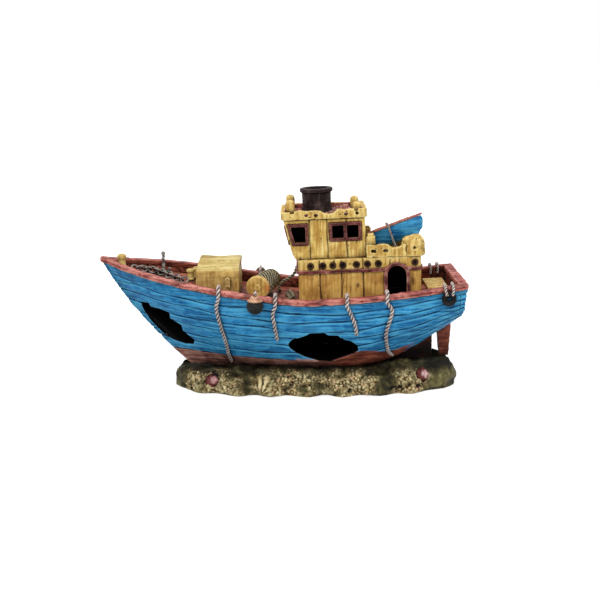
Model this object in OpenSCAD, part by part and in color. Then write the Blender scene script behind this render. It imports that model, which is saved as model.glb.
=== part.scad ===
// Aquarium ornament: a wrecked trawler on a rocky base, with an air line that bubbles up through it.
// Millimetres. The bow points to -X, the port side to -Y, and the base stands on z = 0.

/* [Hull] */
// Length of the planking along the rail, from stem head to transom
hull_length = 230.5; // [206:0.5:256]
// Greatest breadth of the planking at the rail
hull_beam = 80; // [72:1:88]
// Height of the rail line above the keel where it is lowest
hull_depth = 47.5; // [43.5:0.5:53.5]
// Rise of the rail line from its lowest point to the stem head
bow_rise = 20.5; // [12:0.5:26]
// Rise of the rail line from its lowest point to the transom
stern_rise = 10; // [5:0.5:13]
// How far the stem leans forward from its foot to its head
stem_rake = 56; // [47:0.5:65]
// How far the transom leans aft from its foot to its top
transom_rake = 2; // [0:0.1:6]
// Height of the transom foot above the keel
transom_foot = 32.5; // [26:0.5:35]
// Length of the rising run of the keel in front of the transom
run_length = 68; // [60:1:78]
// Width of the flat stem face
stem_face = 3; // [2:0.1:4]
// Thickness of the side planking
plank_wall = 3.5; // [2.8:0.1:4.2]
// Strakes of planking on each side
strakes = 7; // [5:1:9]
// Depth of the seams between strakes
seam_depth = 0.8; // [0.4:0.1:1.2]
// Share of the hull depth that the bottom casting takes
bottom_share = 0.17; // [0.14:0.01:0.2]
// Thickness of the transom board
transom_wall = 4; // [3:0.1:5]
// Breadth of the skeg and the stern post
skeg_width = 7; // [5:0.1:9]
// Length of the stern post at its head
post_length = 9; // [7:0.1:11]
// Gap between the skeg and the stern post
aperture = 3.2; // [3:0.1:6]

/* [Rail and deck] */
// How far the rail stands out from the planking
rail_out = 1.3; // [0.8:0.1:2]
// How far the rail stands in from the planking
rail_in = 1; // [0.6:0.1:1.6]
// Height of the rail
rail_height = 3.4; // [2.6:0.1:4.2]
// Height of the bulwark from the fore deck to the rail
bulwark = 4; // [3:0.1:5]
// How much nearer to the rail the deck comes at the bow
fore_lift = 1.6; // [1:0.1:4.5]
// Thickness of the deck
deck_wall = 3; // [2.4:0.1:3.8]
// Planks across the deck
deck_planks = 9; // [7:1:11]
// Ribs along each bulwark
ribs = 11; // [8:1:14]

/* [Deckhouse] */
// Deckhouse front, aft of the middle of the hull
house_aft = 11.9; // [8:0.1:15]
// Upward slope of the after deck and the houses on it
house_slope = 2.5; // [1:0.1:4]
// Length of the deckhouse
house_length = 77; // [72:0.5:80]
// Width of the deckhouse
house_width = 47; // [42:0.5:50]
// Height of the deckhouse
house_height = 29; // [26.5:0.5:31.5]
// Thickness of the house walls and floors
house_wall = 3; // [2.4:0.1:3.6]
// Radius of the deckhouse corners
house_corner = 2.5; // [1.5:0.1:3.5]
// Height of the belt moulding above the deck
belt_height = 20.5; // [18.5:0.5:22]
// Outer radius of a porthole rim
porthole_r = 2.2; // [1.7:0.1:2.5]
// Clear width of the side doors
door_width = 12; // [10:0.5:14]
// Clear height of the side doors
door_height = 23.5; // [20:0.5:24.5]
// Middle of the side doors from the deckhouse front
door_at = 61.5; // [57:0.5:64]
// Width of the trim round a door
door_trim = 2; // [1.4:0.1:2.6]
// Width of the boards on the house walls
board = 13.5; // [11:0.5:16]
// Height of the parapet round the boat deck
boat_parapet = 8; // [7:0.1:9.5]
// Thickness of the parapets
parapet_wall = 3; // [2.4:0.1:3.6]
// Radius of the round after corners of the parapet
turret_r = 7.5; // [6.5:0.1:8.2]

/* [Wheelhouse] */
// Length of the wheelhouse floor
wheel_length = 46; // [43:0.5:48]
// Width of the wheelhouse
wheel_width = 39; // [35:0.5:42]
// Height of the wheelhouse walls
wheel_height = 25; // [23:0.5:28]
// Overhang of the wheelhouse floor in front of the deckhouse
wheel_overhang = 3; // [1.5:0.1:4]
// How far the wheelhouse front leans forward
front_lean = 5; // [3:0.1:7]
// Height of the roof parapet
roof_parapet_height = 5.3; // [4:0.1:7]
// Radius of the posts at the roof corners
roof_post_r = 2.8; // [2:0.1:3.4]
// Height of the roof corner posts
roof_post_height = 10; // [8.5:0.1:12]
// Outer radius of the funnel
funnel_r = 9.2; // [8:0.1:10.4]
// Bore radius of the funnel
funnel_bore = 7.4; // [6:0.1:7.6]
// Height of the funnel above the roof
funnel_height = 15.5; // [13:0.5:19]

/* [Dinghy] */
// Length of the dinghy
dinghy_length = 34; // [30:0.5:37]
// Breadth of the dinghy
dinghy_beam = 17; // [14:0.5:19]
// Depth of the dinghy at its bow
dinghy_depth = 11.5; // [10:0.5:13]
// Planking of the dinghy
dinghy_wall = 1.8; // [1.4:0.1:2.2]

/* [Deck fittings] */
// Length of the cargo hatch
hatch_length = 27; // [23:0.5:29]
// Width of the cargo hatch
hatch_width = 38; // [32:0.5:42]
// Height of the cargo hatch above the deck at its after end
hatch_height = 22; // [19:0.5:25]
// Radius of the winch cheeks
cheek_r = 7.6; // [7.2:0.1:8.6]
// Length of the winch drum between its cheeks
drum_length = 28; // [25:0.5:31]
// Radius of the winch drum
drum_r = 4.6; // [4:0.1:5]
// Diameter of the rope on the winch
warp_d = 2.2; // [1.8:0.1:2.4]
// Turns of rope on the winch
warp_turns = 9; // [6:1:9]
// Radius of the pair of bollards on the fore deck
bollard_r = 2.4; // [1.8:0.1:3]
// Radius of the wire in the chain links
link_wire = 0.55; // [0.45:0.05:0.6]
// Radius of a chain link at the middle of its wire
link_r = 2.3; // [2.1:0.05:2.6]

/* [Ropes and fenders] */
// Diameter of the ropes over the side
rope_d = 2.3; // [1.8:0.1:2.8]
// Radius of the ball fenders
ball_r = 5.2; // [4.2:0.1:6]
// Radius of the tyre fenders to the middle of their tube
tyre_r = 2.9; // [2.5:0.1:3.5]
// Radius of the tube of a tyre fender
tyre_tube = 1.7; // [1.4:0.1:2]

/* [Base] */
// Length of the rocky base
base_length = 183; // [170:1:196]
// Depth of the rocky base from front to back
base_depth = 68; // [62:1:76]
// Height of the seat for the keel above the underside
keel_height = 13; // [11:0.5:16]
// How much higher the rock stands under the stern post
post_rise = 6.5; // [4:0.5:8]
// Radius of the shells on the rock
shell_r = 4.2; // [3.4:0.1:5]

/* [Air line] */
// Radius of the spigot that takes the air hose
spigot_r = 2.5; // [2.2:0.1:2.9]
// Length of the spigot
spigot_length = 10; // [8:0.5:14]
// Radius of the air way
air_bore = 1.4; // [1:0.1:1.7]
// Radius of the air stone
stone_r = 5.5; // [4.5:0.1:6.5]
// Height of the air stone
stone_height = 14; // [10:0.5:18]
// Clearance between pieces that are put together
fit = 0.15; // [0.1:0.05:0.25]

/* [Hidden] */
$fn = 48;

// Places along the hull, measured from the middle of the base frame
hull_shift = -2.65;
bow_x = hull_shift - hull_length / 2;
stern_x = hull_shift + hull_length / 2;
stem_foot_x = bow_x + stem_rake;
function along(share) = hull_shift + hull_length * share;
shoulder_x = along(-0.076);
sheer_low_x = along(0.0538);
run_x = stern_x - run_length;
house_x = hull_shift + house_aft;
hatch_x = along(-0.2317);
fore_sheer = 1.22;
aft_sheer = 1.65;
stem_curve = 0.35;
stem_share = 0.02;
transom_share = 1 - transom_wall / hull_length;
seam_half = 0.008;
stations = 24;

function mix(a, b, t) = a + (b - a) * t;
function ramp(a, b, x) = max(0, min(1, (x - a) / (b - a)));

// Rail line, keel line and half breadth along the hull
function sheer_z(x) = keel_height + hull_depth + (x < sheer_low_x
    ? bow_rise * pow((sheer_low_x - x) / (sheer_low_x - bow_x), fore_sheer)
    : stern_rise * pow((x - sheer_low_x) / (stern_x - sheer_low_x), aft_sheer));
function keel_line(x) = keel_height
    + transom_foot * pow(max(0, (x - run_x) / (stern_x - transom_rake - run_x)), 1.6);
function plan_y(x) = x < shoulder_x
    ? hull_beam / 2 * (1 - pow((shoulder_x - x) / (shoulder_x - bow_x), 2.6))
    : hull_beam / 2 * (1 - 0.1 * pow((x - shoulder_x) / (stern_x - shoulder_x), 2.4));

// A point of the planking: s runs from the stem to the transom, v from the keel to the rail
function stem_x(v) = stem_foot_x - stem_rake * v * (1 + stem_curve * (1 - v));
function transom_x(v) = stern_x - transom_rake * (1 - v);
function hull_x(s, v) = mix(stem_x(v), transom_x(v), s);
function hull_s(x, v) = (x - stem_x(v)) / (transom_x(v) - stem_x(v));
function hull_z(s, v) = mix(keel_line(hull_x(s, 0)), sheer_z(hull_x(s, 1)), v);
function fullness(s) = pow(max(0, sin(180 * max(0, min(1, s)))), 0.7);
function section(s, v) = let (
    flat = 0.04 + 0.26 * fullness(s),
    round = 1.05 + 1.25 * fullness(s) + 3.4 * pow(max(0, s), 4)
) flat + (1 - flat) * (1 - pow(1 - v, round));
function hull_y(s, v) = stem_face / 2 + max(0, plan_y(hull_x(s, 1)) - stem_face / 2) * section(s, v);
function inner_y(s, v) = max(0.3 * hull_y(s, v), hull_y(s, v) - plank_wall);
function hull_point(s, v, side, out = 0) = [hull_x(s, v), side * (hull_y(s, v) + out), hull_z(s, v)];
function inner_point(s, v, side, out = 0) = [hull_x(s, v), side * (inner_y(s, v) + out), hull_z(s, v)];

// The fore deck follows the rail and nears it towards the bow, and the after deck is a straight slope
function deck_z(x) = x < house_x ? sheer_z(x) - bulwark + fore_lift * ramp(hatch_x, bow_x, x)
    : sheer_z(house_x) - bulwark + tan(house_slope) * (x - house_x);
function deck_v(s, drop, v = 0.9, left = 8) = left == 0 ? v : deck_v(s, drop,
    (deck_z(hull_x(s, v)) - drop - hull_z(s, 0)) / (hull_z(s, 1) - hull_z(s, 0)), left - 1);

// A solid through equal rings, each of which runs out along one side and back along the other
module loft(rings) {
    n = len(rings);
    m = len(rings[0]);
    sides = [for (i = [0 : n - 2], j = [0 : m - 1]) let (
        a = i * m + j, b = i * m + (j + 1) % m
    ) each [[a, b, b + m], [a, b + m, a + m]]];
    caps = [for (k = [0, n - 1], j = [0 : m / 2 - 2]) let (
        a = k * m + j, d = k * m + m - 1 - j
    ) each k == 0 ? [[a, d, d - 1], [a, d - 1, a + 1]] : [[a, a + 1, d - 1], [a, d - 1, d]]];
    polyhedron([for (r = rings) each r], concat(sides, caps), convexity = 8);
}

function both(port, starboard) = concat(port, [for (i = [len(starboard) - 1 : -1 : 0]) starboard[i]]);

// A smooth line through hand-set points, and a tube along a line
function smooth(p, n) = concat([for (i = [0 : len(p) - 2], k = [0 : n - 1]) let (
    t = k / n,
    a = p[max(i - 1, 0)], b = p[i], c = p[i + 1], d = p[min(i + 2, len(p) - 1)]
) (2 * b + (c - a) * t + (2 * a - 5 * b + 4 * c - d) * t * t + (3 * b - a - 3 * c + d) * t * t * t) / 2],
    [p[len(p) - 1]]);
function unit(v) = v / norm(v);
module tube(line, r, sides, across) {
    last = len(line) - 1;
    loft([for (i = [0 : last]) let (
        t = unit(line[min(i + 1, last)] - line[max(i - 1, 0)]),
        u = unit(cross(t, across)),
        w = cross(t, u)
    ) [for (k = [0 : sides - 1]) line[i] + r * (cos(-360 * k / sides) * u + sin(-360 * k / sides) * w)]]);
}

module rounded(l, w, r) {
    square([l - 2 * r, w], center = true);
    square([l, w - 2 * r], center = true);
    for (x = [-1, 1], y = [-1, 1]) translate([x * (l / 2 - r), y * (w / 2 - r)]) circle(r);
}

// Extrudes an outline drawn in X and Z across the ship, centred on its middle line
module athwart(width) rotate([90, 0, 0]) linear_extrude(width, center = true) children();
// Draws on both sides of the ship
module pair() { children(); mirror([0, 1, 0]) children(); }

// Rocky base: a lens in plan with scalloped edges, fuller towards the bow
base_x = along(0.0949);
land_half = 0.174 * hull_beam;
end_half = 4;
foot_half = 2.5;
step_out = 0.5;
rock_shy = 1.6;
rock_rough = 1.2;
scallop_deep = 2.4;
scallop_pitch = base_length / 8;
base_stations = 44;
rock_profile = [[0.96, 0], [1, 0.16], [0.98, 0.45], [0.86, 0.8], [0.66, 1.12], [0.48, 1.22]];

function base_top(x) = min(keel_height + post_rise * ramp(run_x, post_x, x), keel_line(x));
function base_share(x) = 2 * (x - base_x) / base_length;
function base_end(x) = pow(max(0, 1 - pow(abs(base_share(x)), base_share(x) < 0 ? 4 : 2.6)), 0.62);
function base_half(x) = mix(end_half, base_depth / 2, base_end(x));
function rock_lump(x, k) = 0.6 * sin(x * 11 + k * 73) + 0.4 * sin(x * 24 + k * 131);
function scallop(x, side) = scallop_deep
    * cos(360 * ((x - base_x) / scallop_pitch + (side < 0 ? 0.23 : 0.6)));
function rock_rise(x) = base_top(x) * mix(0.5, 1, pow(base_end(x), 0.5));
function rock_point(x, j, side) = let (
    k = j * 2 + (side > 0 ? 1 : 0),
    wave = rock_rough * rock_lump(x, k) + scallop(x, side) * (1 - j / 6),
    edge = base_half(x) - rock_shy + base_end(x) * wave
) [x, side * max(rock_profile[j][0] * edge, base_end(x) * land_half + foot_half + (5 - j) * step_out),
    rock_profile[j][1] * rock_rise(x) * (1 + 0.09 * rock_lump(x, k + 40))];
function land_point(x, side) = [x, side * max(foot_half, land_half * base_end(x)), rock_rise(x)];
function rock_side(x, side) = concat([for (j = [0 : 5]) rock_point(x, j, side)], [land_point(x, side)]);

air_x = run_x + run_length / 9;
air_z = 7;
inlet_deep = 7;
air_y = base_depth / 2 - inlet_deep;
shell_places = [along(-0.192), along(0.393)];
shell_lean = 62;
shell_sunk = 5;
shell_share = 0.62;

module shell_seat(x) translate([x, shell_sunk - base_half(x), shell_share * base_top(x)])
    rotate([shell_lean, 0, 0]) children();

module rock_base() color("darkolivegreen") difference() {
    loft([for (i = [0 : base_stations]) let (
        x = base_x + base_length * (i / base_stations - 0.5)
    ) both(rock_side(x, -1), rock_side(x, 1))]);
    // Way for the air line, in from the back and up under the keel
    translate([air_x, 0, air_z]) rotate([-90, 0, 0]) cylinder(base_depth, r = spigot_r + fit);
    translate([air_x, 0, air_z]) cylinder(keel_height, r = spigot_r + fit);
    translate([air_x, 0, air_z]) sphere(spigot_r + fit);
    translate([air_x, air_y, air_z]) rotate([-90, 0, 0]) cylinder(base_depth, r = flange_r + 2 * fit);
    for (x = shell_places) shell_seat(x) translate([0, 0, -1]) cylinder(base_depth, r = shell_r + fit);
}

// Limpet shells with a ribbed edge, set into the rock
module shells() color("indianred") for (x = shell_places) shell_seat(x) translate([0, 0, -1])
    rotate_extrude() polygon([[0, 0], [shell_r, 0], [shell_r, 1.6], [shell_r * 0.62, 3.4],
        [shell_r * 0.2, 4.6], [0, 4.8]]);

// Hull
bottom_v = [0, bottom_share * 0.5, bottom_share];
module keel() color("firebrick") difference() {
    loft([for (i = [0 : stations]) let (s = pow(i / stations, 1.2)) both(
        [for (v = bottom_v) hull_point(s, v, -1)], [for (v = bottom_v) hull_point(s, v, 1)])]);
    translate([air_x, 0, 0]) cylinder(keel_height + hull_depth, r = spigot_r + fit);
}

// Deadwood under the run, the gap and the post behind it
post_x = along(0.4605);
skeg_end = post_x - post_length / 2 - aperture;
skeg_start = run_x + 0.22 * run_length;
skeg_steps = 8;
module skeg() color("maroon") athwart(skeg_width) polygon(concat(
    [for (i = [0 : skeg_steps]) let (x = mix(skeg_start, skeg_end, i / skeg_steps))
        [x, keel_line(x) - fit]],
    [[skeg_end, base_top(skeg_end)], [skeg_start, base_top(skeg_start)]]));
module stern_post() color("firebrick") athwart(skeg_width) polygon([
    [post_x - post_length / 2, keel_line(post_x - post_length / 2) - fit],
    [post_x, keel_line(post_x) - fit],
    [post_x + post_length / 2, keel_line(post_x + post_length / 2) - fit],
    [post_x + post_length * 0.38, base_top(post_x + post_length)],
    [post_x - post_length * 0.3, base_top(post_x)]]);

side_v = [for (k = [0 : strakes]) mix(bottom_share, 1, k / strakes)];
module stem() color("steelblue") loft([for (s = [0, stem_share / 2, stem_share]) both(
    [for (v = side_v) hull_point(s, v, -1)], [for (v = side_v) hull_point(s, v, 1)])]);
module transom() color("steelblue") loft([for (s = [transom_share, 1]) both(
    [for (v = side_v) hull_point(s, v, -1)], [for (v = side_v) hull_point(s, v, 1)])]);

// Outer face of the planking: each strake stands a little proud or shy, with a seam between
function proud(k) = 0.3 * sin(137 * k + 40);
seam_wander = 0.014;
function wander(s, v) = v == bottom_share || v == 1 ? 0
    : seam_wander * (sin(360 * (2.2 * s + 3.7 * v)) + 0.45 * sin(360 * (5.7 * s + 9.1 * v)));
plank_lines = concat([[bottom_share, proud(0), bottom_share]],
    [for (k = [1 : strakes - 1]) let (v = side_v[k])
        each [[v - seam_half, proud(k - 1), v], [v, -seam_depth, v], [v + seam_half, proud(k), v]]],
    [[1, proud(strakes - 1), 1]]);
module planking() loft([for (i = [0 : stations]) let (
    s = mix(stem_share, transom_share, pow(i / stations, 1.25))
) both([for (p = plank_lines) hull_point(s, p[0] + wander(s, p[2]), -1, p[1])],
    [for (p = plank_lines) inner_point(s, p[0] + wander(s, p[2]), -1)])]);

// Torn outlines in the port side, seen square on, in shares of the hull depth: one forward of the stem
// foot, one aft of the house front
bow_breach = [
    [-0.647, 0.918], [-0.528, 0.933], [-0.514, 0.866], [-0.427, 0.853], [-0.317, 0.841], [-0.235, 0.816],
    [-0.239, 0.731], [-0.167, 0.688], [-0.098, 0.66], [-0.077, 0.547], [0.011, 0.475], [0.075, 0.413],
    [0.053, 0.332], [-0.069, 0.319], [-0.213, 0.352], [-0.329, 0.408], [-0.442, 0.507], [-0.54, 0.628],
    [-0.611, 0.753], [-0.647, 0.848]];
side_breach = [
    [-0.151, 0.464], [-0.1, 0.525], [-0.002, 0.558], [0.127, 0.623], [0.323, 0.634], [0.373, 0.597],
    [0.486, 0.597], [0.586, 0.528], [0.668, 0.508], [0.76, 0.439], [0.778, 0.356], [0.726, 0.314],
    [0.597, 0.248], [0.434, 0.171], [0.249, 0.171], [0.064, 0.244], [-0.036, 0.309], [-0.135, 0.395]];
module breach(outline, x) translate([x, 0, keel_height]) rotate([90, 0, 0]) linear_extrude(hull_beam)
    polygon(hull_depth * outline);

module planking_port() color("steelblue") difference() {
    planking();
    breach(bow_breach, stem_foot_x);
    breach(side_breach, house_x);
}
module planking_starboard() color("steelblue") mirror([0, 1, 0]) planking();

// Rail along the top of the planking
rail_round = 0.9;
function rail_outer(s) = max(0, hull_y(s, 1)) + rail_out;
function rail_inner(s) = max(0, inner_y(max(0, s), 1) - rail_in - (s < stem_share ? 3 : 0));
function rail_ring(s) = let (
    x = hull_x(s, 1), z = sheer_z(x), o = rail_outer(s), i = rail_inner(s)
) [[x, -o, z], [x, -o, z + rail_height - rail_round], [x, -o + rail_round, z + rail_height],
    [x, -i - min(rail_round, i), z + rail_height], [x, -i, z + rail_height - rail_round], [x, -i, z]];
rail_over = rail_out / hull_length;
stern_over = 0.3 / hull_length;
module gunwale() loft([for (i = [0 : stations])
    rail_ring(mix(-rail_over, 1 + stern_over, pow(i / stations, 1.3)))]);
module gunwale_port() color("brown") gunwale();
module gunwale_starboard() color("brown") mirror([0, 1, 0]) gunwale();
module gunwale_stern() color("brown") loft([for (s = [transom_share - rail_over, 1 + stern_over]) let (
    x = hull_x(s, 1), z = sheer_z(x), i = rail_inner(s) - fit
) both([[x, -i, z], [x, -i, z + rail_height]], [[x, i, z], [x, i, z + rail_height]])]);

// Deck of planks with open seams, and a way up for the air under the deckhouse
deck_seam = 0.5;
deck_lines = concat([[-1, 0]], [for (k = [1 : deck_planks - 1]) let (y = 2 * k / deck_planks - 1)
    each [[y - 0.02, 0], [y, deck_seam], [y + 0.02, 0]]], [[1, 0]]);
deck_stations = 16;
vent_length = 34;
vent_width = 18;
vent_at = 14;
function deck_row(s, drop) = let (v = deck_v(s, drop), w = inner_y(s, v) - fit)
    [for (p = deck_lines) [hull_x(s, v), p[0] * w, hull_z(s, v) - (drop > 0 ? 0 : p[1])]];
module deck() color("sienna") difference() {
    loft([for (i = [0 : deck_stations]) let (
        s = mix(stem_share, transom_share - fit / hull_length, pow(i / deck_stations, 1.2))
    ) both(deck_row(s, 0), deck_row(s, deck_wall))]);
    translate([house_x + vent_at, -vent_width / 2, 0])
        cube([vent_length, vent_width, keel_height + hull_depth]);
}

rib_half = 0.006;
rib_deep = 1.5;
module bulwark_ribs() color("brown") pair() for (k = [0 : ribs - 1]) let (
    s = mix(0.12, 0.95, k / (ribs - 1))
) loft([for (e = [s - rib_half, s + rib_half]) let (low = deck_v(e, -fit)) both(
    [for (v = [low, 1]) inner_point(e, v, -1)], [for (v = [low, 1]) inner_point(e, v, -1, -rib_deep)])]);

// Fittings on the fore deck
bow_post_x = bow_x + 0.0534 * hull_length;
bow_post_r = 2.6;
module bow_post() color("goldenrod") translate([bow_post_x, 0, deck_z(bow_post_x - bow_post_r) + fit])
    rotate_extrude() polygon([[0, 0], [bow_post_r, 0], [bow_post_r * 0.85, 6], [bow_post_r * 1.15, 7],
        [bow_post_r * 1.1, 8.6], [bow_post_r * 0.6, 9.6], [0, 9.8]]);

bollard_places = [[hatch_x - 6.5, 9], [hatch_x - 3.4, 19]];
module bollards() color("goldenrod") for (p = bollard_places)
    translate([p[0], p[1], deck_z(p[0] - bollard_r) + fit]) rotate_extrude()
        polygon([[0, 0], [bollard_r * 1.15, 0], [bollard_r * 0.85, 1.6], [bollard_r * 0.85, 4.6],
            [bollard_r * 1.15, 5.4], [bollard_r * 1.1, 6.6], [bollard_r * 0.6, 7.4], [0, 7.6]]);

// Stocked anchor, standing on its crown with its ring against the ball of the stock
anchor_x = bow_x + 0.162 * hull_length;
anchor_y = 12.5;
anchor_height = 14;
arm_r = 4.6;
arm_wire = 0.9;
module anchor() color("dimgray") translate([anchor_x, anchor_y, deck_z(anchor_x) + arm_wire + 2 * fit]) {
    cylinder(anchor_height - 1.4, r1 = 1.1, r2 = 0.8);
    translate([0, 0, anchor_height - 1.4]) sphere(1.4);
    translate([0, 0, anchor_height - 4]) rotate([90, 0, 0]) cylinder(9, r = 0.7, center = true);
    translate([0, 0, arm_r]) rotate([90, 0, 0]) rotate([0, 0, 200]) rotate_extrude(angle = 140)
        translate([arm_r, 0]) circle(arm_wire);
}

// Chain in a bight on the deck: round links, each turned a quarter against the last
chain_links = 13;
// Half way between links that touch the next one and links that touch the next but one
chain_pitch = (3 * link_r - link_wire) / 2;
chain_x = bow_x + 0.0875 * hull_length;
chain_y = 2;
chain_bight = 5.5;
chain_bend = 8;
chain_lift = (link_r + link_wire) * sin(45) + 0.4;
function chain_at(x) = [x, chain_y + chain_bight * sin((x - chain_x) * chain_bend), deck_z(x) + chain_lift];
function chain_way(x) = unit(chain_at(x + 0.5) - chain_at(x - 0.5));
function chain_step(x, left) = left == 0 ? x : chain_step(x + chain_pitch * chain_way(x)[0], left - 1);
module anchor_chain() color("dimgray") for (k = [0 : chain_links - 1]) let (
    x = chain_step(chain_x, k),
    way = chain_way(x)
) translate(chain_at(x)) rotate([0, -asin(way[2]), atan2(way[1], way[0])])
    rotate([k % 2 == 0 ? 45 : -45, 0, 0]) rotate_extrude() translate([link_r, 0]) circle(link_wire);

// Cargo hatch with a crowned cover that falls to port, its foot cut to the slope of the deck
hatch_steps = 6;
hatch_top = deck_z(hatch_x + hatch_length) + hatch_height;
hatch_edge = 2.2;
hatch_crown = 0.9;
hatch_lean = 3.2;
module hatch_end() polygon(concat([[-hatch_width / 2, 0], [hatch_width / 2, 0]],
    [for (a = [0 : 15 : 90]) [hatch_width / 2 - hatch_edge + hatch_edge * cos(a),
        hatch_top - hatch_crown - hatch_edge + hatch_edge * sin(a)]],
    [[0, hatch_top - 0.3 * hatch_lean]],
    [for (a = [90 : 15 : 180]) [-hatch_width / 2 + hatch_edge + hatch_edge * cos(a),
        hatch_top - hatch_lean - hatch_crown - hatch_edge + hatch_edge * sin(a)]]));
module cargo_hatch() color("khaki") intersection() {
    translate([hatch_x, 0, 0]) rotate([90, 0, 90]) linear_extrude(hatch_length) hatch_end();
    athwart(hatch_width + 1) polygon(concat(
        [for (i = [0 : hatch_steps]) let (x = hatch_x + hatch_length * i / hatch_steps) [x, deck_z(x) + fit]],
        [[hatch_x + hatch_length, hatch_top - 1.5], [hatch_x + hatch_length - 1.5, hatch_top + 1],
            [hatch_x + 1.5, hatch_top + 1], [hatch_x, hatch_top - 1.5]]));
}
cleat = 3.2;
cleat_up = 9.5;
cleat_share = 0.74;
module hatch_cleats() color("tan") pair() let (x = hatch_x + hatch_length * cleat_share)
    translate([x, -hatch_width / 2 - fit, deck_z(x) + cleat_up]) athwart_out(cleat) polygon([
        [-cleat / 2, -cleat], [cleat / 2, -cleat], [cleat / 2, cleat * 0.6], [0, cleat],
        [-cleat / 2, cleat * 0.6]]);
module athwart_out(deep) rotate([90, 0, 0]) linear_extrude(deep) children();

// Trawl winch: a drum wound with rope between two cheeks, a little askew on the deck
winch_x = mix(hatch_x + hatch_length, house_x, 0.407);
winch_turn = -14;
winch_y = -4;
cheek_wall = 2.4;
cheek_boss = 0.6;
// The far cheek is worn down to less than the wound rope
far_cheek_r = 0.86 * cheek_r;
module winch_frame() translate([winch_x, winch_y, deck_z(winch_x - cheek_r) + cheek_r + fit])
    rotate([0, 0, winch_turn]) rotate([-90, 0, 0]) children();
module winch_drum() color("saddlebrown") winch_frame() cylinder(drum_length, r = drum_r, center = true);
module winch_cheek(r) translate([0, 0, drum_length / 2]) rotate_extrude() polygon([[0, 0], [r, 0],
    [r, cheek_wall * 0.7], [r - 0.8, cheek_wall], [r / 3, cheek_wall], [r / 4, cheek_wall + cheek_boss],
    [0, cheek_wall + cheek_boss]]);
module winch_cheeks() color("gold") winch_frame() {
    winch_cheek(far_cheek_r);
    rotate([180, 0, 0]) winch_cheek(cheek_r);
}
warp_line_r = drum_r + warp_d / 2 + fit;
warp_pitch = (drum_length - 2 * warp_d) / warp_turns;
warp_rings = 24;
function warp_point(i) = let (a = 360 * i / warp_rings)
    [warp_line_r * cos(a), warp_line_r * sin(a), warp_pitch * (i / warp_rings - warp_turns / 2)];
echo(rope_gap_on_winch = min([for (i = [0 : warp_rings - 1], k = [-3 : 3])
    norm(warp_point(i) - warp_point(i + warp_rings + k))]) - warp_d);
module winch_rope() color("dimgray") winch_frame()
    tube([for (i = [0 : warp_rings * warp_turns]) warp_point(i)], warp_d / 2, 6, [0, 0, 1]);

// Slack warps between the winch and the deckhouse: share of the room, place across and height off the deck
warp_z = warp_d / 2 + fit;
warp_routes = [
    [[0.87, 21, 16], [0.8, 21.3, 12.5], [0.68, 21.3, 9.6], [0.46, 21, 7], [0.22, 19.5, 4.6], [0.1, 16.5, 1.8],
        [0.14, 12.5, 0]],
    [[0.42, 8, 0], [0.55, 1, 0], [0.62, -7, 0], [0.48, -13, 0], [0.3, -18, 0]],
    [[0.55, 18, 0], [0.66, 11, 0], [0.74, 4, 0], [0.75, -3, 0]]];
function on_deck(p) = let (x = mix(winch_x + cheek_r, house_x, p[0])) [x, p[1], deck_z(x) + warp_z + p[2]];
module trawl_warps() color("dimgray") for (route = warp_routes)
    tube(smooth([for (p = route) on_deck(p)], 3), warp_d / 2, 6, [0, 0, 1]);

// Bench across the after deck
house_end = house_x + house_length;
bench_room = stern_x - transom_wall - house_end;
bench_x = house_end + 0.215 * bench_room;
bench_length = 0.58 * bench_room;
bench_leg = 2;
bench_width = 30;
bench_height = 7;
bench_wall = 2.6;
module bench_side() polygon([[0, bench_height], [bench_length, bench_height],
    [bench_length, bench_height - bench_wall], [bench_length - bench_leg, bench_height - bench_wall],
    [bench_length - bench_leg, 0], [bench_leg, 0],
    [bench_leg, bench_height - bench_wall], [0, bench_height - bench_wall]]);
module stern_bench() color("goldenrod") on_slope() translate([bench_x - house_x, 0, fit]) {
    translate([0, 0, bench_height - bench_wall / 2]) translate([bench_length / 2, 0, 0])
        cube([bench_length, bench_width, bench_wall], center = true);
    for (side = [-1, 1]) translate([0, side * (bench_width / 2 - 3), 0]) athwart(3) bench_side();
}

// Houses stand on the straight slope of the after deck
module on_slope() translate([house_x, 0, deck_z(house_x)]) rotate([0, -house_slope, 0]) children();
module house_plan(grow = 0) translate([house_length / 2, 0])
    rounded(house_length + 2 * grow, house_width + 2 * grow, max(0.4, house_corner + grow));

stair_at = 10;
stair_length = 24;
portholes = [7.9, 15.5, 21.8, 28.1, 36.5, 43.3, 50.1, 73];
porthole_z = mix(belt_height, house_height, 0.56);
porthole_deep = 0.8;
groove = 0.7;
module on_wall(x, width, z) translate([x, -width / 2, z]) rotate([90, 0, 0]) children();
module door_outline(grow) {
    translate([-door_width / 2 - grow, 0]) square([door_width + 2 * grow, door_height - door_width / 2]);
    translate([0, door_height - door_width / 2]) circle(door_width / 2 + grow);
}
module deckhouse() color("gold") on_slope() translate([0, 0, fit]) difference() {
    linear_extrude(house_height) house_plan();
    translate([0, 0, -1]) linear_extrude(house_height - house_wall + 1) house_plan(-house_wall);
    translate([stair_at, -vent_width / 2, 0]) cube([stair_length, vent_width, house_height + 1]);
    // The doorway is open to port, and a blind recess to starboard
    on_wall(door_at, house_width, 0) translate([0, 0, -house_wall - 1]) linear_extrude(house_wall + 2)
        door_outline(0);
    mirror([0, 1, 0]) on_wall(door_at, house_width, 0) translate([0, 0, -pane_deep])
        linear_extrude(house_wall) door_outline(0);
    pair() {
        for (x = portholes) on_wall(x, house_width, porthole_z) translate([0, 0, -porthole_deep])
            cylinder(2, r = porthole_r);
        for (x = [board : board : door_at - door_width]) on_wall(x, house_width, 0)
            translate([-groove / 2, -1, -groove]) cube([groove, belt_height + 1, groove + 1]);
    }
    for (y = [-1.5 : 1 : 1.5], x = [0, house_length]) translate([x, y * house_width / 4, 0])
        cube([2 * groove, groove, 2 * belt_height], center = true);
}

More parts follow.
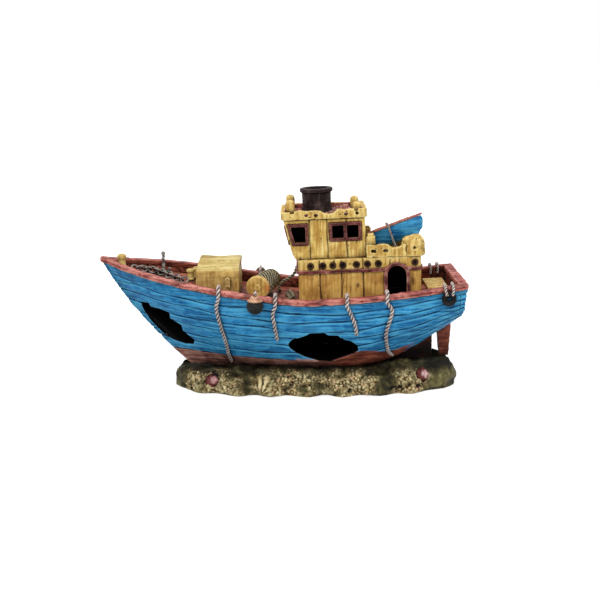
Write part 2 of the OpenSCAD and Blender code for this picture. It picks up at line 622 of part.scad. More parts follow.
belt_deep = 1.2;
belt_tall = 2;
module belt_moulding() color("brown") on_slope() translate([0, 0, fit + belt_height]) difference() {
    linear_extrude(belt_tall) difference() { house_plan(belt_deep); house_plan(); }
    pair() on_wall(door_at, house_width, -belt_height) translate([0, 0, -1])
        linear_extrude(4) door_outline(door_trim + fit);
}
module porthole_rims() color("saddlebrown") on_slope() translate([0, 0, fit]) pair() for (x = portholes)
    on_wall(x, house_width, porthole_z) translate([0, 0, -porthole_deep]) rotate_extrude()
        polygon([[porthole_r * 0.45, 0], [porthole_r - fit / 3, 0], [porthole_r - fit / 3, 1.2],
            [porthole_r * 0.75, 1.6], [porthole_r * 0.45, 1.1]]);
trim_deep = 1.6;
module door_trims() color("brown") on_slope() translate([0, 0, fit]) pair() on_wall(door_at, house_width, 0)
    linear_extrude(trim_deep) difference() { door_outline(door_trim); door_outline(0); }

// Parapet round the boat deck, with a dipped top edge and drain holes
boat_fore = wheel_length - wheel_overhang + fit;
parapet_holes = [47.5, 55];
turret_over = 3.2;
turret_side = 1.5;
turret_x = house_length - turret_r + turret_over;
turret_y = -house_width / 2 + turret_r - turret_side;
parapet_past = 2 * boat_parapet;
dip_half = 5;
drain = [3.4, 2];
module parapet_top(drop) polygon([[boat_fore - 1, parapet_past], [boat_fore - 1, boat_parapet],
    [door_at - dip_half, boat_parapet], [door_at - 0.4 * dip_half, boat_parapet - drop],
    [door_at + 0.4 * dip_half, boat_parapet - drop], [door_at + dip_half, boat_parapet],
    [house_length + turret_r, boat_parapet], [house_length + turret_r, parapet_past]]);
module boat_deck_parapet() color("gold") on_slope() translate([0, 0, house_height + 2 * fit]) difference() {
    linear_extrude(boat_parapet) difference() {
        house_plan();
        house_plan(-parapet_wall);
        translate([boat_fore - house_length, -house_width]) square([house_length, 2 * house_width]);
        pair() translate([turret_x, turret_y]) circle(turret_r + fit);
    }
    pair() for (x = parapet_holes) on_wall(x, house_width, boat_parapet * 0.5)
        translate([0, 0, -parapet_wall - 1]) linear_extrude(parapet_wall + 2)
            rounded(drain[0], drain[1], 0.9);
    athwart(house_width + 1) parapet_top(2.2);
}
module parapet_turrets() color("goldenrod") on_slope() pair()
    translate([turret_x, turret_y, house_height + 2 * fit]) rotate_extrude()
        polygon([[0, 0], [turret_r, 0], [turret_r, boat_parapet - 0.5], [turret_r * 0.9, boat_parapet + 2.2],
            [turret_r * 0.62, boat_parapet + 4], [0, boat_parapet + 4.6]]);
post_w = 5.5;
post_up = 4.8;
module parapet_posts() color("goldenrod") on_slope() pair() translate([boat_fore + post_w / 2 + fit,
    -house_width / 2 + parapet_wall + post_w / 2 + fit, house_height + 2 * fit]) {
    linear_extrude(boat_parapet + post_up) rounded(post_w, post_w, 1.2);
    translate([0, 0, boat_parapet + post_up]) linear_extrude(1.6) rounded(post_w - 1.4, post_w - 1.4, 1);
}

// Wheelhouse: a hollow house whose front leans forward over the deckhouse
wheel_z = house_height + 2 * fit;
front_foot = 3;
lean_angle = atan2(front_lean, wheel_height - front_foot);
function front_x(z) = -wheel_overhang - front_lean * max(0, z - front_foot) / (wheel_height - front_foot);
wheel_aft = wheel_length - wheel_overhang;
module wheel_side() polygon([[-wheel_overhang + 2, 0], [front_x(front_foot), front_foot],
    [front_x(wheel_height), wheel_height], [wheel_aft, wheel_height], [wheel_aft, 0]]);
module wheel_room() polygon([[front_x(house_wall) + house_wall + 0.6, house_wall],
    [front_x(wheel_height + 1) + house_wall, wheel_height + 1], [wheel_aft - house_wall, wheel_height + 1],
    [wheel_aft - house_wall, house_wall]]);

window_low = 10.8;
window_high = 20.6;
fore_window_end = 5.5;
aft_panes = [[22.2, 29.4], [31.5, 38.7]];
board_seams = [8.1, 18.3, 31.5];
frame_wide = 1.9;
frame_deep = 1;
frame_proud = 0.9;
// Outline of the fore side window, whose front edge follows the lean of the wheelhouse front
module fore_window(grow) polygon([[front_x(window_low - grow) + 3.4 - grow, window_low - grow],
    [front_x(window_high + grow) + 3.4 - grow, window_high + grow],
    [fore_window_end + grow, window_high + grow], [fore_window_end + grow, window_low - grow]]);
module aft_window(grow) translate([aft_panes[0][0] - grow, window_low + 1.8 - grow])
    square([aft_panes[1][1] - aft_panes[0][0] + 2 * grow, window_high - window_low - 1.8 + 2 * grow]);
module aft_lights() for (p = aft_panes) translate([p[0], window_low + 1.8])
    square([p[1] - p[0], window_high - window_low - 1.8]);
module side_lights() { fore_window(0); aft_lights(); }
pane_deep = 1.7;
front_lights = 3;
front_light = 8;
front_gap = 2.2;
front_span = front_lights * front_light + (front_lights - 1) * front_gap;
// Plane of the leaning front: X runs up it, Y across the ship, Z out of it
module on_front() translate([front_x(front_foot), 0, front_foot]) rotate([0, -lean_angle, 0])
    rotate([0, -90, 0]) children();
module front_window(grow) translate([window_low - front_foot - grow, -front_span / 2 - grow])
    square([window_high - window_low - 1.5 + 2 * grow, front_span + 2 * grow]);
module front_panes() for (k = [0 : front_lights - 1])
    translate([window_low - front_foot, -front_span / 2 + k * (front_light + front_gap)])
        square([window_high - window_low - 1.5, front_light]);

module wheelhouse() color("gold") on_slope() translate([0, 0, wheel_z]) difference() {
    athwart(wheel_width) wheel_side();
    athwart(wheel_width - 2 * house_wall) wheel_room();
    translate([stair_at, -vent_width / 2, -1]) cube([stair_length, vent_width, 2 * house_wall]);
    // The windows are open to port, and blind panes to starboard
    on_wall(0, wheel_width, 0) translate([0, 0, -house_wall - 1]) linear_extrude(house_wall + 2)
        side_lights();
    mirror([0, 1, 0]) on_wall(0, wheel_width, 0) translate([0, 0, -pane_deep]) linear_extrude(house_wall)
        side_lights();
    pair() on_wall(0, wheel_width, 0) {
        translate([0, 0, -frame_deep]) linear_extrude(frame_deep + 1) {
            fore_window(frame_wide);
            aft_window(frame_wide);
        }
        for (x = board_seams) translate([x, -1, -groove])
            cube([groove, wheel_height + 2, groove + 1]);
    }
    on_front() {
        translate([0, 0, -house_wall - 2]) linear_extrude(house_wall + 4) front_panes();
        translate([0, 0, -frame_deep]) linear_extrude(frame_deep + 2) front_window(frame_wide);
    }
}
module side_window_frames() color("brown") on_slope() translate([0, 0, wheel_z]) pair()
    on_wall(0, wheel_width, 0) translate([0, 0, -frame_deep]) linear_extrude(frame_deep + frame_proud) {
        difference() { fore_window(frame_wide - fit); fore_window(0); }
        difference() { aft_window(frame_wide - fit); aft_lights(); }
    }
module front_window_frame() color("brown") on_slope() translate([0, 0, wheel_z]) on_front()
    translate([0, 0, -frame_deep]) linear_extrude(frame_deep + frame_proud)
        difference() { front_window(frame_wide - fit); front_panes(); }

// Roof slab inside the parapet ring, which rests on the outer half of the walls
roof_z = wheel_z + wheel_height + fit;
roof_fore = front_x(wheel_height);
roof_length = wheel_aft - roof_fore;
roof_wall = 2;
parapet_out = 1.4;
ring_in = parapet_wall - parapet_out;
module roof_plan(grow) translate([roof_fore + roof_length / 2, 0])
    rounded(roof_length + 2 * grow, wheel_width + 2 * grow, 3);
funnel_at = 13.6;
module roof() color("brown") on_slope() translate([0, 0, roof_z]) difference() {
    linear_extrude(roof_wall) roof_plan(-ring_in - fit);
    translate([funnel_at, 0, -1]) cylinder(roof_wall + 2, r = funnel_bore);
}
// The parapet has drain holes, a broken gap to port and a shallow notch by each corner post
roof_holes = [6.4, 12.4, 31.1, 38];
notch_deep = 1.3;
notch_wide = 2.4;
break_from = 15.9;
break_to = 25.4;
module roof_parapet() color("gold") on_slope() translate([0, 0, roof_z]) difference() {
    linear_extrude(roof_parapet_height) difference() { roof_plan(parapet_out); roof_plan(-ring_in); }
    pair() for (x = roof_holes) translate([x, -wheel_width / 2, roof_parapet_height * 0.5]) rotate([90, 0, 0])
        cylinder(4 * parapet_wall, r = 1.1, center = true);
    translate([0, -wheel_width / 2, 0]) rotate([90, 0, 0]) linear_extrude(4 * parapet_wall, center = true)
        polygon([[break_from, 2 * roof_parapet_height], [break_from, 0.88 * roof_parapet_height],
            [break_from + 2, 0.62 * roof_parapet_height], [break_from + 5, 0.52 * roof_parapet_height],
            [break_to - 1.5, 0.6 * roof_parapet_height], [break_to, 0.82 * roof_parapet_height],
            [break_to, 2 * roof_parapet_height]]);
    for (x = [roof_fore + 4.6, wheel_aft - 6.6])
        translate([x, -wheel_width, roof_parapet_height - notch_deep])
            cube([notch_wide, 2 * wheel_width, 2 * notch_deep]);
}
// The after pair of posts is broken off shorter
aft_post_drop = 2.5;
post_inset = ring_in + roof_post_r + 2 * fit;
module roof_post(x, height) pair() translate([x, -wheel_width / 2 + post_inset, roof_z + roof_wall])
    rotate_extrude() polygon([[0, 0], [roof_post_r, 0], [roof_post_r, height - 2.4],
        [roof_post_r * 0.86, height - 1], [roof_post_r * 0.5, height - 0.2], [0, height]]);
module roof_posts() color("goldenrod") on_slope() {
    roof_post(roof_fore + post_inset, roof_post_height);
    roof_post(wheel_aft - post_inset, roof_post_height - aft_post_drop);
}
module funnel() color("saddlebrown") on_slope() translate([funnel_at, 0, roof_z + roof_wall]) rotate_extrude()
    polygon([[funnel_bore, 0], [funnel_r + 1.4, 0], [funnel_r + 0.3, 2], [funnel_r, 4],
        [funnel_r, funnel_height - 3], [funnel_r + 1.3, funnel_height - 2.2],
        [funnel_r + 1.3, funnel_height - 0.5], [funnel_r + 0.8, funnel_height],
        [funnel_bore, funnel_height]]);

// Dinghy: its stern on the boat deck and its keel across the after parapet, so the bow points up, and it
// heels to starboard
dinghy_foot = boat_fore + 7;
dinghy_tilt = atan2(boat_parapet + fit, house_length - parapet_wall - dinghy_foot);
dinghy_heel = 9;
dinghy_steps = 10;
dinghy_points = 6;
rail_d = 1.2;
function dinghy_half(t) = dinghy_beam / 2 * (t < 0.45 ? 1 - 0.22 * pow(1 - t / 0.45, 2)
    : pow(max(0, 1 - pow((t - 0.45) / 0.55, 2.4)), 0.8));
function dinghy_keel(t) = 0.2 * dinghy_depth * pow(max(0, (t - 0.7) / 0.3), 2.2);
function dinghy_round(a) = [sin(a), 1 - cos(a)];
module in_dinghy() on_slope() translate([dinghy_foot, 0, wheel_z + fit]) rotate([0, -dinghy_tilt, 0])
    rotate([-dinghy_heel, 0, 0]) children();
function dinghy_side(t, side, inset, lift) = let (
    half = max(0.45, dinghy_half(t) - inset),
    low = dinghy_keel(t) + inset
) [for (k = [0 : dinghy_points]) let (c = dinghy_round(90 * k / dinghy_points))
    [t * dinghy_length, side * half * max(0.06, c[0]), mix(low, dinghy_depth + lift, c[1])]];
module dinghy_solid(inset, t0, t1, lift) loft([for (i = [0 : dinghy_steps]) let (
    t = mix(t0, t1, i / dinghy_steps)
) both(dinghy_side(t, -1, inset, lift), dinghy_side(t, 1, inset, lift))]);
module dinghy() color("steelblue") in_dinghy() difference() {
    dinghy_solid(0, 0, 1, 0);
    dinghy_solid(dinghy_wall, dinghy_wall / dinghy_length, 1 - 1.6 * dinghy_wall / dinghy_length, 0.5);
}
// Plan of the dinghy at its rail, and of the well inside it
rail_steps = 16;
function rail_edge(side, grow) = [for (i = [0 : rail_steps]) let (t = i / rail_steps)
    [t * dinghy_length + (i == 0 ? -grow : i == rail_steps ? grow : 0),
        side * (max(0.4, dinghy_half(t)) + grow)]];
module dinghy_outline(grow) polygon(both(rail_edge(-1, grow), rail_edge(1, grow)));
function well_edge(side) = [for (i = [0 : rail_steps]) let (
    t = mix(dinghy_wall / dinghy_length, 0.93, i / rail_steps)
) [t * dinghy_length, side * max(0.5, dinghy_half(t) - dinghy_wall)]];
module dinghy_well() polygon(both(well_edge(-1), well_edge(1)));
module dinghy_rail() color("brown") in_dinghy() translate([0, 0, dinghy_depth + fit]) linear_extrude(rail_d)
    difference() { dinghy_outline(0.7); dinghy_well(); }
thwart_drop = 3;
module dinghy_thwarts() color("tan") in_dinghy() for (t = [0.3, 0.58]) translate([t * dinghy_length - 2, 0,
    dinghy_depth - thwart_drop]) intersection() {
    translate([0, -dinghy_beam / 2, 0]) cube([4, dinghy_beam, 1.2]);
    translate([-t * dinghy_length + 2, 0, thwart_drop - dinghy_depth])
        dinghy_solid(dinghy_wall + fit, 0.1, 0.8, 0.5);
}

// Line lashed round the dinghy, down to the deck on each side
lash_t = 0.38;
lash_d = 1.4;
lash_r = lash_d / 2;
lash_half = dinghy_half(lash_t) + 0.7 + lash_r + fit;
lash_top = dinghy_depth + rail_d + lash_r + 2 * fit;
lash_foot = lash_half + 0.6;
lash_low = lash_r + fit - lash_t * dinghy_length * tan(dinghy_tilt);
lash_route = [[lash_half, 3], [lash_half, dinghy_depth], [lash_half - 0.5, lash_top - 0.5],
    [lash_half * 0.6, lash_top + 0.3], [0, lash_top]];
function lash_end(side) = [0, side * lash_foot, lash_low + side * lash_foot * tan(dinghy_heel)];
lash_line = concat([lash_end(-1)], [for (p = lash_route) [0, -p[0], p[1]]],
    [for (k = [len(lash_route) - 2 : -1 : 0]) [0, lash_route[k][0], lash_route[k][1]]], [lash_end(1)]);
module dinghy_lashing() color("darkkhaki") in_dinghy() translate([lash_t * dinghy_length, 0, 0])
    tube(smooth(lash_line, 2), lash_r, 6, [1, 0, 0]);

// Ropes that come over the rail and lie down the port side
rope_r = rope_d / 2;
rope_off = rope_r + 0.5;
function rail_s(x) = hull_s(x, 1);
function over_rail(x, inside) = let (
    s = rail_s(x), z = sheer_z(x), o = rail_outer(s) + rope_off, i = rail_inner(s)
) concat(inside ? [[x, -i + rope_off, z - bulwark * 0.45], [x, -i + rope_off, z + rail_height * 0.7]] : [],
    [[x, -i - 0.4, z + rail_height + rope_off], [x, -o + rope_off * 0.8, z + rail_height + rope_off],
        [x, -o, z + rail_height * 0.6], [x, -o, z - 1]]);
function down_side(route) = [for (p = route) hull_point(hull_s(along(p[0]), p[1]), p[1], -1, rope_off)];
module side_rope(x, route) color("tan")
    tube(smooth(concat(over_rail(x, true), down_side(route)), 2), rope_r, 8, [1, 0, 0]);
module rope_fore() side_rope(along(-0.1635), [[-0.1697, 0.84], [-0.1635, 0.66], [-0.1545, 0.48],
    [-0.1481, 0.32], [-0.1459, 0.2], [-0.1393, 0.09]]);
module rope_mid_fore() side_rope(along(-0.0134), [[-0.02, 0.86], [-0.0156, 0.7], [-0.0091, 0.5]]);
module rope_mid_aft() side_rope(along(0.1776), [[0.1885, 0.86], [0.1993, 0.72], [0.2037, 0.58]]);
module rope_aft() side_rope(along(0.284), [[0.297, 0.86], [0.2927, 0.72], [0.284, 0.55],
    [0.2861, 0.38], [0.2949, 0.2], [0.3079, 0.1]]);

// Fenders hang outside the rail on both sides
ball_x = along(-0.0658);
ball_drop = 1.5;
ball_tip = 1.2 * ball_r;
ball_at = [ball_x, -rail_outer(rail_s(ball_x)) - ball_r - fit, sheer_z(ball_x) - ball_drop];
module ball_fenders() color("darkslategray") pair() translate(ball_at) rotate_extrude()
    polygon(concat([for (a = [-90 : 15 : 60]) [max(0, ball_r * cos(a)), ball_r * sin(a)]],
        [[ball_r * 0.36, ball_tip], [0, ball_tip]]));
tyre_x = along(0.448);
tyre_v = 0.885;
tyre_s = hull_s(tyre_x, tyre_v);
tyre_at = hull_point(tyre_s, tyre_v, -1, rail_out + tyre_tube + fit);
module tyre_fenders() color("dimgray") pair() translate(tyre_at) rotate([90, 0, 4]) rotate_extrude()
    translate([tyre_r, 0]) circle(tyre_tube);
lanyard_d = 1.6;
lanyard_r = lanyard_d / 2;
lanyard_off = lanyard_r + 0.3;
lanyard_step = 2.4;
// A lanyard from inside the rail, over it, and on through the points of its fender
function lanyard(x, points) = let (
    s = rail_s(x), z = sheer_z(x), o = rail_outer(s) + lanyard_off, i = rail_inner(s) - lanyard_off
) concat([[x, -i, z - 1.5], [x, -i, z + rail_height * 0.6],
    [x, -i - lanyard_r, z + rail_height + lanyard_off],
    [x, -o + lanyard_r, z + rail_height + lanyard_off]], points);
module line_over(x, points) tube(smooth(lanyard(x, points), 2), lanyard_r, 6, [1, 0, 0]);
module fender_lashings() color("tan") pair() {
    line_over(ball_x, [ball_at + [0, ball_r * 0.6, ball_tip + lanyard_off],
        ball_at + [0, -lanyard_r, ball_tip + lanyard_r + fit]]);
    for (d = [-lanyard_step, lanyard_step]) line_over(tyre_x + d, [
        [tyre_x + d, tyre_at[1] - lanyard_off, sheer_z(tyre_x + d) + rail_height * 0.7],
        tyre_at + [0.58 * tyre_r * sign(d), -tyre_tube - lanyard_r - fit, 0.81 * tyre_r]]);
}

// Air line: a hose spigot at the back, a pipe through the rock and the keel, and a porous stone in the hull
flange_r = 4.4;
flange_wall = 1.6;
barrel = 8;
module air_inlet() color("white") translate([air_x, air_y - barrel, air_z]) rotate([-90, 0, 0]) difference() {
    union() {
        cylinder(barrel + flange_wall + spigot_length, r = spigot_r);
        translate([0, 0, barrel]) cylinder(flange_wall, r = flange_r);
    }
    translate([0, 0, -1]) cylinder(barrel + flange_wall + spigot_length + 2, r = air_bore);
}
stone_socket = 5.5;
function keel_top(x) = hull_z(hull_s(x, bottom_share), bottom_share);
pipe_top = keel_top(air_x + stone_r) + stone_socket + 2 * fit;
module pipe_way(r, past) {
    translate([air_x, 0, air_z]) cylinder(pipe_top - air_z + past, r = r);
    translate([air_x, 0, air_z]) sphere(r);
    translate([air_x, 0, air_z]) rotate([-90, 0, 0]) cylinder(air_y - barrel - fit + past, r = r);
}
module air_tube() color("white") difference() {
    pipe_way(spigot_r, 0);
    pipe_way(air_bore, 1);
}
module air_stone() color("lightgray") translate([air_x, 0, pipe_top - stone_socket]) rotate_extrude()
    polygon([[spigot_r + fit, 0], [stone_r - 1, 0], [stone_r, 1], [stone_r, stone_height - 2],
        [stone_r - 2, stone_height], [0, stone_height], [0, stone_socket + fit],
        [spigot_r + fit, stone_socket + fit]]);

rock_base();
shells();
keel();
skeg();
stern_post();
stem();
planking_port();
planking_starboard();
transom();
gunwale_port();
gunwale_starboard();
gunwale_stern();
deck();
bulwark_ribs();
bow_post();
bollards();
anchor();
anchor_chain();
cargo_hatch();
hatch_cleats();
winch_drum();
winch_cheeks();
winch_rope();
trawl_warps();
stern_bench();
deckhouse();
belt_moulding();
porthole_rims();
door_trims();
boat_deck_parapet();
parapet_turrets();
parapet_posts();
wheelhouse();
side_window_frames();
front_window_frame();
roof();
roof_parapet();
roof_posts();
funnel();
dinghy();
dinghy_rail();
dinghy_thwarts();
dinghy_lashing();
rope_fore();
rope_mid_fore();
rope_mid_aft();
rope_aft();
ball_fenders();
tyre_fenders();
fender_lashings();
air_inlet();
air_tube();
air_stone();
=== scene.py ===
"""Painted looks for the wrecked-trawler aquarium ornament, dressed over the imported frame."""
import math

import bmesh
import bpy
import numpy as np
from mathutils import Matrix, Vector, noise
from mathutils.bvhtree import BVHTree


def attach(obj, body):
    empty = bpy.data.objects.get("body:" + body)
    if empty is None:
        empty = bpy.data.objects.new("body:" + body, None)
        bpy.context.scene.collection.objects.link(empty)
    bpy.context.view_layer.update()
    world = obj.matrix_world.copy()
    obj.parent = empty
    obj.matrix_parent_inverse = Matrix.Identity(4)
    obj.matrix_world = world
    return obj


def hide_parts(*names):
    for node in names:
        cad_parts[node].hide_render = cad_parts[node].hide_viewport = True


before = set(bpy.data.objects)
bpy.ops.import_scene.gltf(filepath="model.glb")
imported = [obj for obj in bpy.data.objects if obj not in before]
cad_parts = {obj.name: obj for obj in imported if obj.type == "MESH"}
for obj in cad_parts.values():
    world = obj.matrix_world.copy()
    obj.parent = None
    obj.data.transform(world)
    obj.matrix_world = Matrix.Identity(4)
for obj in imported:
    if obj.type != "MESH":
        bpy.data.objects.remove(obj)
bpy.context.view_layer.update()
scene = bpy.context.scene
MM = 0.001

# Lines of the hull and of the house, as the solids have them, in millimetres
BOW_X, STERN_X, STEM_FOOT_X, RUN_X, HATCH_X = -117.9, 112.6, -61.9, 44.6, -56.06
SHEER_LOW_X, HOUSE_X, HOUSE_SLOPE = 9.75, 9.25, math.radians(2.5)
KEEL_Z, RAIL_DEPTH, BOW_RISE, STERN_RISE = 13.0, 47.5, 20.5, 10.0
BULWARK, FORE_LIFT, FORE_SHEER, AFT_SHEER = 4.0, 1.6, 1.22, 1.65
HULL_HALF, STEM_HALF, SHOULDER_X, PLANK_WALL = 40.0, 1.5, -20.168, 3.5
RAIL_OUT, RAIL_IN, RAIL_HEIGHT, FIT = 1.3, 1.0, 3.4, 0.15
STEM_RAKE, STEM_CURVE, TRANSOM_RAKE, TRANSOM_FOOT = 56.0, 0.35, 2.0, 32.5
BOTTOM_SHARE, STRAKES, RUN_CURVE = 0.17, 7, 1.6
HOUSE_LENGTH, HOUSE_HALF, HOUSE_TOP, HOUSE_WALL = 77.0, 23.5, 29.0, 3.0
WHEEL_HALF, WHEEL_AFT, WHEEL_FORE, WHEEL_LEAN = 19.5, 43.0, -3.0, 5.0
WHEEL_Z, ROOF_Z, ROOF_MIDDLE = 29.3, 54.45, 17.5
BOAT_PARAPET, ROOF_PARAPET, PARAPET_WALL = 8.0, 5.3, 3.0
BOARD_SEAMS, WHEEL_SEAMS = (13.5, 27.0, 40.5), (8.1, 19.2, 31.3)
PORTHOLES, PORTHOLE_Z, PORTHOLE_R = (7.9, 15.5, 21.8, 28.1, 36.5, 43.3, 50.1, 73.0), 25.4, 2.2
DOOR_FORE, DOOR_AFT, DOOR_TOP = HOUSE_LENGTH - 26, HOUSE_LENGTH - 5, HOUSE_TOP - 8
WINDOW_FOOT, WINDOW_TOP, ROOM_INSET = WHEEL_Z + 5, ROOF_Z - 2.5, HOUSE_WALL - 0.4

# Places of wear, colour and painted shade in the same frame, with each ramp from its start to its full mark
BLUE_RAMP, RUST_RAMP, BOTTOM_PATCH_X = (76, 84), (18, 34), 46
TEAR_FORE, TEAR_AFT, TEAR_Y, TEAR_Z = 8, 20, -21.8, 20.6
# The hold limits bound the black painted shade inside the keel
HOLD_HALF, HOLD_FLOOR, INBOARD_RAMP = 74, 14.5, (34.2, 33.4)
HEAP_X, HEAP_Y = 38.2, 13.5

# Middles and ends of the fittings that are carved about them
WINCH_PLACE, HUB_SHIFT, CHEEK_R = (-13.466, -4, 67.87), 3.9, 7.6
BALL_X, BALL_Y, BALL_CAP_RAMP = -17.8, 46.65, (64.8, 65.8)
PROW_RAMP, PROW_TOP_RAMP, DINGHY_RAMP = (77, 88), (99, 111), (58, 80)
DINGHY_FOOT, DINGHY_HEEL = WHEEL_AFT + FIT + 7, math.radians(9)
PROW_HEIGHTS, PROW_SHIFTS = (95, 98, 100, 102, 105.5, 109, 111), (0, 0.3, 0.2, -1.1, 0.6, 2.2, 1.9)
SHELL_LEAN = math.radians(62)
SHELL_WAY = np.array([0.0, -math.sin(SHELL_LEAN), math.cos(SHELL_LEAN)])

# The rock: patches of gravel as middle and half length, a fan of growth with its root, the pale right end and
# where its painted shade thins
GROWTH = ((-60, 6), (-40, 13), (1, 21), (42, 16), (80, 11))
FAN_X, FAN_Z, FAN_REACH, FAN_ROOT_X, FAN_ROOT_Z = -14, 7, 6, -15, 1
ROCK_END_X, SHADE_GAP_X = 98, 75


def sheer_z(x):
    """Height of the rail line."""
    fore = BOW_RISE * np.clip((SHEER_LOW_X - x) / (SHEER_LOW_X - BOW_X), 0, 2) ** FORE_SHEER
    aft = STERN_RISE * np.clip((x - SHEER_LOW_X) / (STERN_X - SHEER_LOW_X), 0, 2) ** AFT_SHEER
    return KEEL_Z + RAIL_DEPTH + fore + aft


def keel_z(x):
    """Height of the keel, with its rising run aft."""
    run = np.clip((x - RUN_X) / (STERN_X - TRANSOM_RAKE - RUN_X), 0, 2)
    return KEEL_Z + TRANSOM_FOOT * run ** RUN_CURVE


def deck_z(x):
    """Height of the deck, which follows the rail forward and slopes up aft under the houses."""
    fore = sheer_z(x) - BULWARK + FORE_LIFT * np.clip((x - HATCH_X) / (BOW_X - HATCH_X), 0, 1)
    after = sheer_z(np.array(HOUSE_X)) - BULWARK + np.tan(HOUSE_SLOPE) * (x - HOUSE_X)
    return np.where(x < HOUSE_X, fore, after)


def hull_ends(v):
    """Where the stem and the transom are, at a share of the way from keel to rail."""
    return STEM_FOOT_X - STEM_RAKE * v * (1 + STEM_CURVE * (1 - v)), STERN_X - TRANSOM_RAKE * (1 - v)


def hull_limits(s):
    """Heights of the keel and the rail, at a share of the way from stem to transom."""
    low = keel_z(STEM_FOOT_X + s * (STERN_X - TRANSOM_RAKE - STEM_FOOT_X))
    return low, sheer_z(BOW_X + s * (STERN_X - BOW_X))


def hull_place(points):
    """Shares of the way from stem to transom and from keel to rail, and the height from keel to rail."""
    x, z = points[:, 0], points[:, 2]
    v = np.full(len(x), 0.5)
    for _ in range(6):
        stem, transom = hull_ends(v)
        s = np.clip((x - stem) / (transom - stem), 0, 1)
        low, high = hull_limits(s)
        v = np.clip((z - low) / (high - low), 0, 1)
    return s, v, high - low


def hull_side(x, v):
    """Half breadth and height of the planking, at a place along the hull and a share of the way up it."""
    stem, transom = hull_ends(v)
    s = (x - stem) / (transom - stem)
    low, high = hull_limits(s)
    rail_x = BOW_X + s * (STERN_X - BOW_X)
    fore = np.clip((SHOULDER_X - rail_x) / (SHOULDER_X - BOW_X), 0, 1) ** 2.6
    aft = np.clip((rail_x - SHOULDER_X) / (STERN_X - SHOULDER_X), 0, 1) ** 2.4
    plan = HULL_HALF * (1 - fore - 0.1 * aft)
    full = np.sin(math.pi * s) ** 0.7
    flat = 0.04 + 0.26 * full
    section = flat + (1 - flat) * (1 - (1 - v) ** (1.05 + 1.25 * full + 3.4 * s ** 4))
    return STEM_HALF + (plan - STEM_HALF) * section, low + (high - low) * v


def house_place(points):
    """Distance aft of the house front, and height over its foot, along the sloped deck."""
    aft, up = points[:, 0] - HOUSE_X, points[:, 2] - deck_z(np.array(HOUSE_X))
    turn = HOUSE_SLOPE
    return aft * np.cos(turn) + up * np.sin(turn), up * np.cos(turn) - aft * np.sin(turn)


# Paints and shader helpers

def paint(red, green, blue):
    """A colour as it looks, 0 to 255, as the linear value a shader takes."""
    def linear(c):
        return c / 12.92 if c <= 0.04045 else ((c + 0.055) / 1.055) ** 2.4
    return (linear(red / 255), linear(green / 255), linear(blue / 255), 1.0)


def put(tree, kind, sockets=None, **settings):
    """Adds a node to a tree, with its settings, and with values or links for its sockets."""
    made = tree.nodes.new(kind)
    for name, value in settings.items():
        setattr(made, name, value)
    for name, value in (sockets or {}).items():
        if isinstance(value, bpy.types.NodeSocket):
            tree.links.new(value, made.inputs[name])
        else:
            made.inputs[name].default_value = value
    return made


def calc(tree, operation, first, second=0.0, clamp=False):
    """The outcome of one sum on two values."""
    made = put(tree, "ShaderNodeMath", {0: first, 1: second}, operation=operation, use_clamp=clamp)
    return made.outputs[0]


def spread(tree, value, low, high, to_low=0.0, to_high=1.0):
    """A value between two limits, stretched to two others."""
    return put(tree, "ShaderNodeMapRange", {"Value": value, "From Min": low, "From Max": high,
               "To Min": to_low, "To Max": to_high}).outputs[0]


def blend(tree, share, under, over):
    """One colour laid over another by a share."""
    return put(tree, "ShaderNodeMix", {0: share, 6: under, 7: over}, data_type="RGBA").outputs[2]


def mark(tree, name):
    """A mark that the piece carries at each of its points."""
    return put(tree, "ShaderNodeAttribute", attribute_name=name).outputs["Fac"]


